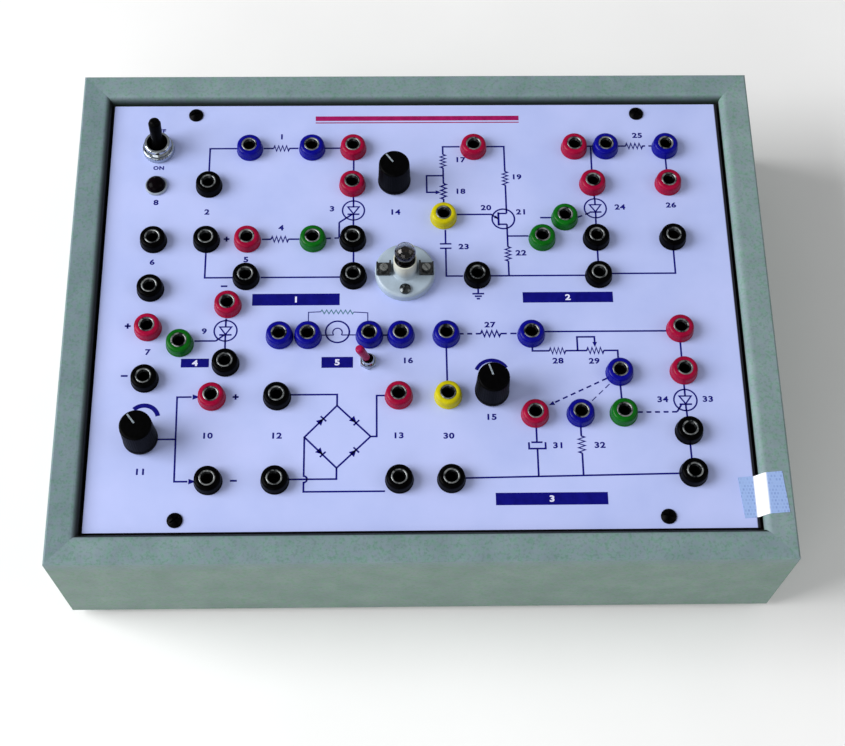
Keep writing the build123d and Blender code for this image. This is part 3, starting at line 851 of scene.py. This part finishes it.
toggle_place = middle_of("load_switch_bushing")
hex_profile = softened(
    [(2.6, 0.0, 0), (4.2, 0.0, 0), (4.2, 1.1, 0), (3.3, 1.8, 0), (2.6, 1.8, 0.1)], steps=2
)
add_turned(
    "toggle_nut", hex_profile, toggle_place, chrome, "chrome", "load_switch_nut", sides=72,
    flats=(6, 3.25),
)
small_mouth = [(2.45, 3.4), (2.3, 3.6), (2.15, 3.5), (2.15, -3.0)]
small_bushing = np.concatenate([thread(2.58, 2.42, -3.0, 3.1, 0.25), small_mouth])
add_turned(
    "toggle_bushing", small_bushing, toggle_place, chrome, "chrome", "load_switch_bushing",
    crease=50, sides=48,
)
toggle_spot = toggle_place + [0, 0, 2.4]
lever_profile = softened(
    [(0.0, -3.8, 0), (0.7, -3.8, 0.2), (0.95, -1.0, 0.3), (0.95, 10.4, 0.3), (0.0, 10.4, 0)]
)
# At rest the miniature lever and its sleeve lean to the left
toggle_lean = turn_y(-18)
add_turned(
    "toggle_lever", lever_profile, toggle_spot, chrome, "chrome", "load_lever", body="load_lever",
    turn=toggle_lean, crease=60, sides=32, joined=False,
)
sleeve_profile = softened([
    (0.97, 2.2, 0), (1.6, 2.2, 0.2), (1.9, 10.6, 0.8), (1.5, 11.9, 0.6), (0.0, 11.9, 0),
    (0.0, 10.5, 0), (0.97, 10.5, 0),
], steps=6)
add_turned(
    "toggle_sleeve", sleeve_profile, toggle_spot, sleeve_plastic, "red_plastic",
    "load_lever_sleeve", body="load_lever", turn=toggle_lean, crease=60, sides=32,
)


# Knobs

knob_profile = softened([
    (6.1, 1.0, 0), (7.18, 1.0, 0.2), (7.18, 2.6, 0.3), (7.05, 2.9, 0.1), (6.68, 15.3, 0.6),
    (6.0, 16.0, 0.3), (0.0, 16.0, 0), (0.0, 12.5, 0), (2.9, 12.5, 0), (2.9, 6.0, 0), (6.1, 6.0, 0),
])
flute_depth = np.where((knob_profile[:, 0] > 6.6) & (knob_profile[:, 1] > 2.95), 0.12, 0.0)
line_bar = stamp([(-0.35, 0.8), (0.35, 0.8), (0.35, 5.8), (-0.35, 5.8)], 15.6, 16.0)
line_bar = (line_bar[0] - [0, 0, panel_top], line_bar[1])
# Each knob's line stands turned from the back by so many degrees, as the photo shows it
for name, line_turn in {"gate": 37.0, "volts": 37.0, "rc": 19.0}.items():
    spot = middle_of(f"{name}_shaft")
    add_turned(
        f"{name}_fluted_knob", knob_profile, spot, knob_plastic, "knob_black", f"{name}_knob",
        body=f"{name}_knob", turn=turn_z(line_turn), crease=50, sides=160, waves=40,
        ripple=flute_depth,
    )
    add_piece(
        f"{name}_white_line", [placed(line_bar, spot + [0, 0, 0.02], turn_z(line_turn))],
        line_paint, f"{name}_knob", [f"{name}_knob_line"],
    )


# Lamp holder and bulb

holder = middle_of("lamp_shell")
base_profile = softened([
    (0.0, 0.0, 0), (12.95, 0.0, 0.2), (12.95, 3.4, 0.3), (12.2, 4.5, 0.7), (5.6, 4.5, 0.5),
    (5.4, 5.0, 0.2), (5.0, 5.7, 0.4), (4.95, 14.0, 0.25), (4.45, 14.0, 0.1), (4.45, 3.0, 0),
    (0.0, 3.0, 0),
], steps=5)
add_turned(
    "holder_base", base_profile, holder, urea_plastic, "pale_base", "lamp_base", sides=72,
    joined=False,
)


def bent_plate(path, thickness, width):
    """A strip whose section follows a path in X and Z: each point's offset by the thickness
    along the mitre of its runs gives the other face, and the width runs along Y."""
    path = np.asarray(path, float)
    run = np.diff(path, axis=0)
    run /= np.linalg.norm(run, axis=1, keepdims=True)
    normal = np.stack([-run[:, 1], run[:, 0]], -1)
    before = np.concatenate([normal[:1], normal])
    after = np.concatenate([normal, normal[-1:]])
    lean = 1 + np.sum(before * after, axis=1, keepdims=True)
    other = path + (before + after) / lean * thickness
    section = np.concatenate([path, other[::-1]])
    points = np.empty((4, len(section), 3))
    points[:, :, 0] = section[:, 0]
    points[:, :, 2] = section[:, 1]
    points[[0, 1], :, 1] = -width / 2
    points[[2, 3], :, 1] = width / 2
    count = len(path)
    left = np.arange(count - 1)
    cap = np.stack([left, left + 1, 2 * count - 2 - left, 2 * count - 1 - left], -1)
    faces = [grid_faces(2, len(section), False, True) + len(section), cap + len(section)]
    faces.append(cap[:, ::-1] + 2 * len(section))
    return points.reshape(-1, 3), faces


plates = []
screws = []
plate_path = [
    (-3.1, 7.6), (-3.2, 7.2), (-3.2, 5.2), (-2.9, 4.6), (-2.5, 4.5), (2.5, 4.5), (2.9, 4.6),
    (3.2, 5.2), (3.2, 6.1), (3.0, 6.4),
]
plate = bent_plate(plate_path, thickness=0.75, width=5.9)
cheese_head = slotted_head(1.8, 1.8, 0.5, 0.8, crown=0.12)
terminal_reach = 9.1
for turn in (0, 180):
    matrix = turn_z(turn)
    spot = holder + matrix @ [terminal_reach, 0, 0]
    plates.append(placed(plate, spot, matrix))
    screws.append(placed(cheese_head, spot + [0, 0, 5.3], turn_z(turn + 35)))
add_piece("terminal_plates", plates, dark_chrome, "case", ["lamp_terminal_plates"])
add_piece("terminal_screws", screws, plated_steel, "case", ["lamp_terminal_screws"])
fixing_head = slotted_head(2.4, 1.8, 0.6, 0.8, crown=0.5)
fixing_shank = lathe([(0.0, -13.5), (1.1, -13.5), (1.1, 0.0), (0.0, 0.0)], 16, joined=False)
fixing_reach = 9.6
fixings = []
for side in (-1, 1):
    spot = holder + [0, side * fixing_reach, 4.5]
    fixings.append(placed(fixing_head, spot, turn_z(20 + 40 * side)))
    fixings.append(placed(fixing_shank, spot))
add_piece("fixing_screws", fixings, dulled_steel, "case", ["lamp_fixing_screws"])

cap_height = np.linspace(6.4, 13.0, 56)
cap_thread = 3.78 + 0.17 * np.cos(2 * pi * (cap_height - 6.4) / 1.8 + pi)
cap_profile = np.concatenate([
    [(0.0, 5.2), (2.6, 5.2), (3.6, 6.2)], np.stack([cap_thread, cap_height], -1),
    [(3.6, 13.4), (3.2, 13.4), (3.0, 12.6), (0.0, 12.6)],
])
add_turned(
    "screw_cap", cap_profile, holder, dark_nickel_and_shade, "zinc_steel", "bulb_cap", crease=60, sides=48,
    joined=False,
)


def globe(radius, neck, neck_height, steps):
    """A bulb's outline: an ellipse, 0.9 as high as it is wide, about the globe's middle from 50
    degrees below to the pole, reached from the neck by a straight run."""
    angle = np.radians(np.linspace(-50, 90, steps))
    ball = np.stack([radius * np.cos(angle), 19.8 + 0.9 * radius * np.sin(angle)], -1)
    return np.concatenate([[(neck, neck_height)], ball])


glass_wall = np.concatenate([globe(4.5, 3.5, 13.4, 22), globe(4.1, 3.1, 13.5, 22)[::-1]])
add_turned(
    "bulb_globe", glass_wall, holder, bulb_glass, "bulb_glass", "bulb_glass", crease=80, sides=56
)
turns_of_wire = 9
s = np.linspace(0, 1, 180)
coil_path = np.stack([
    3.4 * (s - 0.5), 0.28 * np.cos(2 * pi * turns_of_wire * s),
    19.65 + 0.28 * np.sin(2 * pi * turns_of_wire * s),
], -1)


def wire(path, radius, sides=8):
    """A round wire: about each point of the path, whose direction is T, a circle spanned by
    N = T x G and B = T x N, where G is Y, or Z where the path runs along Y. Its ends close in a
    point each."""
    path = np.asarray(path, float)
    along = np.gradient(path, axis=0)
    along /= np.linalg.norm(along, axis=1, keepdims=True)
    guide = np.where(np.abs(along[:, 1:2]) > 0.9, [[0.0, 0.0, 1.0]], [[0.0, 1.0, 0.0]])
    normal = np.cross(along, guide)
    normal /= np.linalg.norm(normal, axis=1, keepdims=True)
    other = np.cross(along, normal)
    angle = np.linspace(0, 2 * pi, sides, endpoint=False)[None, :, None]
    rings = path[:, None] + radius * (np.cos(angle) * normal[:, None] + np.sin(angle) * other[:, None])
    first = np.repeat(path[None, :1], sides, axis=1)
    last = np.repeat(path[None, -1:], sides, axis=1)
    rings = np.concatenate([first, rings, last])
    return rings.reshape(-1, 3), [grid_faces(len(rings), sides, False, True)]


leads = [
    wire(np.linspace((side * 0.5, 0, 15.5), (side * 1.65, 0, 19.65), 8), 0.1) for side in (-1, 1)
]
add_piece(
    "filament_coil", [placed(shape, holder) for shape in [wire(coil_path, 0.06), *leads]], tungsten,
    "case", ["bulb_filament"], crease=80,
)


# Panel screws, feet and the cord's bush

panel_screw_x = 99.3
panel_screw_y = 96.0
recessed_head = slotted_head(3.2, 1.8, 0.7, 1.0, cross=True, crown=0.75)
panel_screw_shank = lathe([(0.0, -13.0), (1.05, -13.0), (1.05, 0.0), (0.0, 0.0)], 16, joined=False)
screw_pieces = []
for spot in four_corners(panel_screw_x, panel_screw_y, panel_top):
    stop = 20 * np.sign(spot[0]) + 35 * np.sign(spot[1])
    screw_pieces.append(placed(recessed_head, spot, turn_z(stop)))
    screw_pieces.append(placed(panel_screw_shank, spot))
add_piece("domed_screws", screw_pieces, black_steel, "case", ["panel_screws"])

foot_radius = 8.0
foot_profile = softened([
    (4.2, 0.0, 0.3), (7.0, 0.0, 0.8), (foot_radius, 4.6, 0.3), (foot_radius, 5.0, 0), (1.5, 5.0, 0),
    (1.5, 2.6, 0), (4.2, 2.6, 0),
])
foot = lathe(foot_profile, 48)
foot_x = 128.0
foot_y = 93.0
feet = [placed(foot, spot) for spot in four_corners(foot_x, foot_y, 0)]
add_piece("moulded_feet", feet, rubber, "case", ["rubber_feet"])
bush_profile = softened(
    [(3.5, 0.9, 0.7), (4.4, 0.0, 0.4), (5.5, 0.25, 0.2), (5.5, 12.7, 0.5), (3.5, 12.7, 0.5)]
)
bush_spot = (-92.0, 115.0, 30.0)
add_turned(
    "cord_bush", bush_profile, bush_spot, rubber, "black_rubber", "cable_bush", turn=turn_x(90),
    sides=64,
)
# The board round the bush, out to the eight-sided opening that the frame's board has
surround = lathe([(5.52, 0.0), (6.6, 0.0), (6.6, 12.6), (5.52, 12.6)], 64, flats=(8, 6.0))
surround = placed(surround, bush_spot, turn_x(90) @ turn_z(22.5))
add_piece("bush_surround", [surround], laminates["back"], "case")


# The paper seal over the panel's right edge and the rim


def paper_height(x):
    """Height under the paper: the panel, then 45 degrees up, then a quarter of the rim's round."""
    rim_x, rim_round = 140.3, 3.0
    inside = np.minimum(x - rim_x, 0)
    on_rim = case_top - rim_round + np.sqrt(np.maximum(rim_round**2 - inside**2, 0))
    tangent_x = rim_x - rim_round * cos(pi / 4)
    tangent_z = case_top - rim_round + rim_round * sin(pi / 4)
    slope = np.maximum(tangent_z - (tangent_x - x), panel_top)
    return np.where(x > tangent_x, on_rim, slope)


seal_half = 8.8
seal_middle_x = 138.2
seal_middle_y = -87.6
seal_turn = radians(4.5)
seal_rows = 89
seal_columns = 13
u, v = np.meshgrid(
    np.linspace(-seal_half, seal_half, seal_rows), np.linspace(-seal_half, seal_half, seal_columns),
    indexing="ij",
)
seal_x = seal_middle_x + u * cos(seal_turn) - v * sin(seal_turn)
seal_y = seal_middle_y + u * sin(seal_turn) + v * cos(seal_turn)
seal_z = paper_height(seal_x) + 0.01
ripple = 0.03 * np.sin(seal_y * 0.9) * np.cos(seal_x * 0.5)
upper = np.stack([seal_x, seal_y, seal_z + 0.13 + ripple], -1)
lower = np.stack([seal_x, seal_y, seal_z], -1)
count = seal_rows * seal_columns
top_faces = grid_faces(seal_rows, seal_columns)
numbered = np.arange(count).reshape(seal_rows, seal_columns)
rim_loop = np.concatenate(
    [numbered[0], numbered[1:, -1], numbered[-1, -2::-1], numbered[-2:0:-1, 0]]
)
next_loop = np.roll(rim_loop, -1)
rim_faces = np.stack([rim_loop, next_loop, next_loop + count, rim_loop + count], -1)
seal = (
    np.concatenate([upper.reshape(-1, 3), lower.reshape(-1, 3)]),
    [top_faces, top_faces[:, ::-1] + count, rim_faces],
)
add_piece("paper_seal", [seal], paper, "case", ["seal_sticker"], crease=60)


# Printed circuits


def resistor(start, end, teeth=4, swing=1.4):
    """A zigzag from start to end whose points stand by turns at either side of the line."""
    start, end = np.array(start, float), np.array(end, float)
    along = end - start
    across = np.array([-along[1], along[0]]) / np.linalg.norm(along) * swing
    share = (np.arange(2 * teeth) + 0.5) / (2 * teeth)
    sign = np.where(np.arange(2 * teeth) % 2, -1.0, 1.0)
    peaks = start + share[:, None] * along + sign[:, None] * across
    return np.concatenate([[start], peaks, [end]])


def dashes(start, end, dash=2.0, gap=1.5):
    """The dashes of a broken line, as many as fit, spread evenly from start to end."""
    start, end = np.array(start, float), np.array(end, float)
    length = np.linalg.norm(end - start)
    number = max(1, round((length + gap) / (dash + gap)))
    step = (length + gap) / number
    from_start = np.arange(number) * step
    way = (end - start) / length
    return [(start + way * a, start + way * (a + step - gap)) for a in from_start]


def arrowhead(tip, direction, length=2.4, width=2.0):
    """A triangle: its tip, and two corners a length behind it and half a width to either side."""
    way = np.array(direction, float) / np.linalg.norm(direction)
    side = np.array([-way[1], way[0]])
    back = np.array(tip) - way * length
    return [tip, back + side * width / 2, back - side * width / 2]


def diode(middle, direction, size=2.2):
    """A triangle that points along its direction, and the bar across its tip."""
    way = np.array(direction, float) / np.linalg.norm(direction)
    side = np.array([-way[1], way[0]])
    tip = np.array(middle) + way * size * 0.6
    back = np.array(middle) - way * size * 0.7
    bar = [tip + side * size * 0.75, tip - side * size * 0.75]
    outline = [tip, back + side * size * 0.7, back - side * size * 0.7]
    return outline, bar


printed = []


def draw(*paths, width=0.75, closed=False):
    """Prints each path as a line of the given width."""
    for path in paths:
        printed.append(ink(path, width, closed))


def fill(*outlines):
    """Prints each outline as a solid patch."""
    for outline in outlines:
        printed.append(stamp(outline))


def thyristor(middle, gate_end=None):
    """A ringed thyristor: leads from top and bottom, a triangle pointing down onto its bar, and
    a gate lead that leaves the bar to the lower left."""
    x, y = middle
    draw(circle(middle, 4.8), width=0.65, closed=True)
    draw([(x, y + 4.8), (x, y + 1.8)], [(x, y - 1.9), (x, y - 4.8)])
    draw([(x - 2.5, y + 1.8), (x + 2.5, y + 1.8), (x, y - 1.7)], closed=True, width=0.6)
    draw([(x - 2.6, y - 1.9), (x + 2.6, y - 1.9)])
    if gate_end:
        draw([(x - 0.6, y - 2.0), gate_end])


def sign_plus(x, y, reach=1.25):
    """Prints a plus sign."""
    draw([(x - reach, y), (x + reach, y)], [(x, y - reach), (x, y + reach)], width=0.8)


def sign_minus(x, y, reach=1.4):
    """Prints a minus sign."""
    draw([(x - reach, y), (x + reach, y)], width=0.8)


# Places on the panel are in millimetres from its middle, measured through the photo's camera

# Direct-current block, upper left
draw([(-92.3, 62), (-92.3, 78.5), (-80, 78.5)])
draw([(-68.5, 78.5), (-64, 78.5)], resistor((-64, 78.5), (-57, 78.5)), [(-57, 78.5), (-53, 78.5)])
draw([(-41, 78.5), (-34, 78.5)], [(-28.3, 72), (-28.3, 65)], [(-28.4, 54), (-28.3, 51.3)])
thyristor((-28.3, 46.5), (-34.5, 40.5))
draw([(-28.3, 41.7), (-28.3, 37)], [(-34.5, 40.5), (-34.5, 33)], [(-28.2, 26), (-28.2, 19)])
draw(*dashes((-34.5, 32.8), (-40, 32.6)))
draw([(-68, 32.3), (-64, 32.3)], [(-56.5, 32.3), (-51.8, 32.3)])
draw(resistor((-64, 32.3), (-56.5, 32.3)))
draw([(-92, 26), (-92, 13.6), (-80, 13.6)], [(-68, 13.6), (-34, 13.6)])
sign_plus(-83.3, 32.5)
sign_minus(-83.5, 9.5)

# Relaxation oscillator and its load, upper right
draw([(19, 79), (11.4, 79), (11.4, 75)], resistor((11.4, 75), (11.4, 68), swing=1.2))
draw([(11.4, 68), (11.4, 60)], [(11.4, 64), (4, 64), (4, 55.5), (8, 55.5)])
fill(arrowhead((10.3, 55.5), (1, 0)))
draw(resistor((11.4, 60), (11.4, 52), swing=1.2), [(11.4, 52), (11.2, 48)])
draw([(31, 79), (38.8, 79), (38.8, 66)], resistor((38.8, 66), (38.8, 59), swing=1.2))
draw([(38.8, 59), (38.8, 44.6)], [(38.8, 39.2), (38.8, 28)])
draw(circle((37.3, 41.9), 4.9), width=0.7, closed=True)
draw([(35.2, 38.6), (35.2, 45.2)], width=0.9)
draw([(35.2, 44.6), (38.8, 44.6)], [(35.2, 39.2), (38.8, 39.2)])
draw([(17, 44.2), (32, 44.2), (35, 42)])
fill(arrowhead((35.1, 41.9), (3, -2.2), 1.8, 1.6))
draw([(38.8, 33.3), (48, 33.3)])
draw(resistor((38.8, 28), (38.8, 21), swing=1.2), [(38.8, 21), (38.8, 13.8)])
draw([(11.8, 36.5), (11.8, 29.6)], [(11.8, 27.4), (11.8, 13.8), (19, 13.8)])
draw([(9.3, 29.6), (14.3, 29.6)], [(9.3, 27.4), (14.3, 27.4)], width=0.7)
draw([(31, 13.8), (71.5, 13.8)], [(83.3, 14.6), (110.8, 14.6), (110.8, 26)])
draw([(25.3, 7.5), (25.3, 5.3)], [(22.8, 5.2), (27.8, 5.2)])
draw([(23.8, 4.0), (26.8, 4.0)], [(24.6, 2.8), (26.0, 2.8)])
draw([(53.5, 42.4), (58.3, 42.4)])
draw(*dashes((70, 42.5), (75.4, 44.8)))
thyristor((78, 47))
draw([(77.9, 54), (77.9, 51.8)], [(77.9, 42.2), (77.8, 37)], [(77.7, 26), (77.7, 19)])
draw([(75.5, 79), (78.5, 79)], [(77.7, 79), (77.5, 64)], [(110.9, 72), (110.9, 65)])
draw(*dashes((90, 79), (93.5, 79)), resistor((93.5, 79), (101, 79)), *dashes((101, 79), (105, 79)))

# Supply column and the single thyristor
sign_plus(-123.5, -9.2)
sign_minus(-123.5, -32.3)
thyristor((-82.1, -11.7), (-86, -16.4))
draw([(-82.0, -6), (-82.1, -6.9)], [(-82.1, -16.5), (-82, -21.5)], [(-95, -16.4), (-86, -16.4)])

# Output of the supply
draw([(-108.2, -60.9), (-100.7, -60.9)], [(-95, -42.1), (-101, -42.1), (-100.4, -79.4), (-95, -79.4)])
fill(arrowhead((-91.6, -42.1), (1, 0), 3.0, 2.4), arrowhead((-91.6, -79.4), (1, 0), 3.0, 2.4))
sign_plus(-76.8, -42.2)
sign_minus(-76.4, -79.2)

# Bulb row
draw([(-47.2, -9), (-47.2, -3.2), (-42, -3.0)], [(-28, -3.2), (-22, -3.6), (-22, -9)], width=0.4)
draw(circle((-34.8, -12.5), 5.0), width=0.7, closed=True)
bulb_hump = circle((-34.8, -12.8), 2.0, 210, -30, 16)
bulb_loop = [(-41.5, -14), (-36.6, -14), *bulb_hump, (-32.9, -14), (-27.2, -14)]
draw(bulb_loop, width=0.5)
draw([(-15.6, -14.2), (-13.7, -14.2)])
draw(*dashes((16.5, -13.8), (25.8, -13.8)), *dashes((34.2, -13.8), (41, -13.8)))
draw(resistor((25.8, -13.8), (34.2, -13.8)))
draw([(11.1, -20), (11.2, -36.8)])

# Bridge
draw([(-53.9, -41.4), (-34.7, -41.4), (-34.7, -46.4)])
draw([(-34.7, -46.4), (-20.8, -60.3), (-34.7, -74), (-48, -60.4)], closed=True)
for middle, direction in (
    ((-41.2, -53.2), (1, 1)), ((-27.6, -53.2), (1, -1)), ((-41.3, -67.1), (1, -1)),
    ((-27.6, -67.1), (1, 1)),
):
    outline, bar = diode(middle, direction)
    fill(outline)
    draw(bar, width=0.7)
draw([(-34.7, -74), (-34.7, -78.8), (-53.9, -78.8)])
hop = circle((-48, -78.8), 1.4, 90, -90, 10)
draw([(-48, -60.4), *hop, (-48, -84.2), (-15, -84.2)])
draw([(-20.8, -60.3), (-18.3, -60.3), (-18.3, -42), (-15, -42)])

# Resistor and capacitor block, right
draw([(52.8, -13), (104.7, -13)], [(47.4, -20), (47.4, -22), (54.6, -22)])
draw(resistor((54.6, -22), (61.3, -22)), [(61.3, -22), (70.4, -22)], resistor((70.4, -22), (77.5, -22)))
draw([(77.5, -22), (83.4, -22), (83.4, -26.5)])
draw([(66.5, -22), (66.5, -15.6), (73.9, -15.6), (73.9, -18)])
fill(arrowhead((73.9, -20.4), (0, -1)))
draw(*dashes((78.0, -34.9), (55.8, -45.6)), width=0.7)
fill(arrowhead((53.2, -46.9), (-2.1, -1)))
draw(*dashes((79, -37.5), (71.3, -45)), width=0.4)
draw([(83.5, -38), (83.7, -45)])
draw([(47.5, -57), (47.5, -63.2)], [(45.2, -63.4), (49.8, -63.4)])
draw([(44.2, -63.4), (44.2, -66.2), (51.0, -66.2), (51.0, -63.4)])
draw([(47.6, -66.2), (47.6, -78.4)])
draw([(65.9, -57), (65.9, -60.8)], resistor((65.9, -60.8), (65.9, -68.3)), [(65.9, -68.3), (65.9, -78)])
draw([(17.9, -78.8), (105, -77.5)])
draw(*dashes((90, -50.3), (106.3, -50.3)), [(106.3, -50.3), (108.3, -47.2)])
thyristor((110.2, -45))
draw([(110.2, -18.4), (110.2, -26.4)], [(110.2, -38), (110.2, -40.2)], [(110.3, -49.8), (110.4, -53.5)])
draw([(110.6, -65), (110.7, -72)])

# Turning marks beside two of the knobs
draw(circle((-114.35, -51.75), 5.96, 135, 12, 20), width=1.9)
draw(circle((30.0, -33.2), 7.0, 158, 30, 20), width=1.6)

# Bars with plain figures where each block is named
bars = {
    "1": (-71.3, 5.7, -34.0, 0.1),
    "2": (44.3, 5.8, 83.0, 0.8),
    "3": (29.8, -85.3, 75.3, -90.6),
    "4": (-100.2, -24.6, -88.5, -28.6),
    "5": (-41.4, -24.2, -28.2, -29.2),
}
white_figures = []
for figure, (x0, y1, x1, y0) in bars.items():
    fill([(x0, y0), (x1, y0), (x1, y1), (x0, y1)])
    middle = ((x0 + x1) / 2, (y0 + y1) / 2)
    white_figures.append(numerals(figure, middle, 2.8, ink_height, 0.07))

# ON and OFF at the switch, and a plain figure where each part is named
printed.append(numerals("ON", (-114.7, 68.6), 2.0, stretch=1.15, weight=0.04))
printed.append(numerals("OFF", (-115.3, 87.9), 2.1, stretch=1.15, weight=0.04))
part_figures = [
    ("1", -60.5, 84.6), ("2", -92.4, 46.1), ("3", -37.7, 47.4), ("4", -59.8, 38.0),
    ("5", -74.6, 22.4), ("6", -114.9, 21.4), ("7", -114.3, -21.4), ("8", -114.9, 51.0),
    ("9", -91.1, -11.8), ("10", -87.5, -59.4), ("11", -114.4, -75.0), ("12", -59.2, -59.6),
    ("13", -9.1, -59.9), ("14", -9.7, 45.6), ("15", 29.4, -52.0), ("16", -4.9, -26.0),
    ("17", 19.5, 72.2), ("18", 19.1, 56.0), ("19", 44.2, 63.2), ("20", 29.9, 47.6),
    ("21", 45.0, 45.4), ("22", 44.4, 25.0), ("23", 19.6, 28.2), ("24", 88.9, 47.6),
    ("25", 99.0, 84.6), ("26", 111.5, 48.5), ("27", 29.9, -9.6), ("28", 58.0, -26.6),
    ("29", 73.2, -26.8), ("30", 11.4, -60.2), ("31", 56.0, -64.8), ("32", 73.4, -64.8),
    ("33", 119.6, -44.6), ("34", 100.8, -44.6),
]
for figure, x, y in part_figures:
    printed.append(numerals(figure, (x, y), 2.7))
add_piece("printed_circuits", printed, navy_ink, "case")
add_piece("bar_figures", white_figures, white_ink, "case")

faint = [ink(resistor((-42, -3.0), (-28, -3.2), 7, 0.9), 0.4)]
add_piece("faint_resistor", faint, teal_ink, "case")
heading = [
    stamp([(-45.5, 92.9), (46.0, 92.9), (46.0, 95.3), (-45.5, 95.3)]),
    stamp([(-45.5, 91.6), (46.0, 91.6), (46.0, 92.1), (-45.5, 92.1)]),
]
add_piece("heading_rule", heading, magenta_ink, "case")
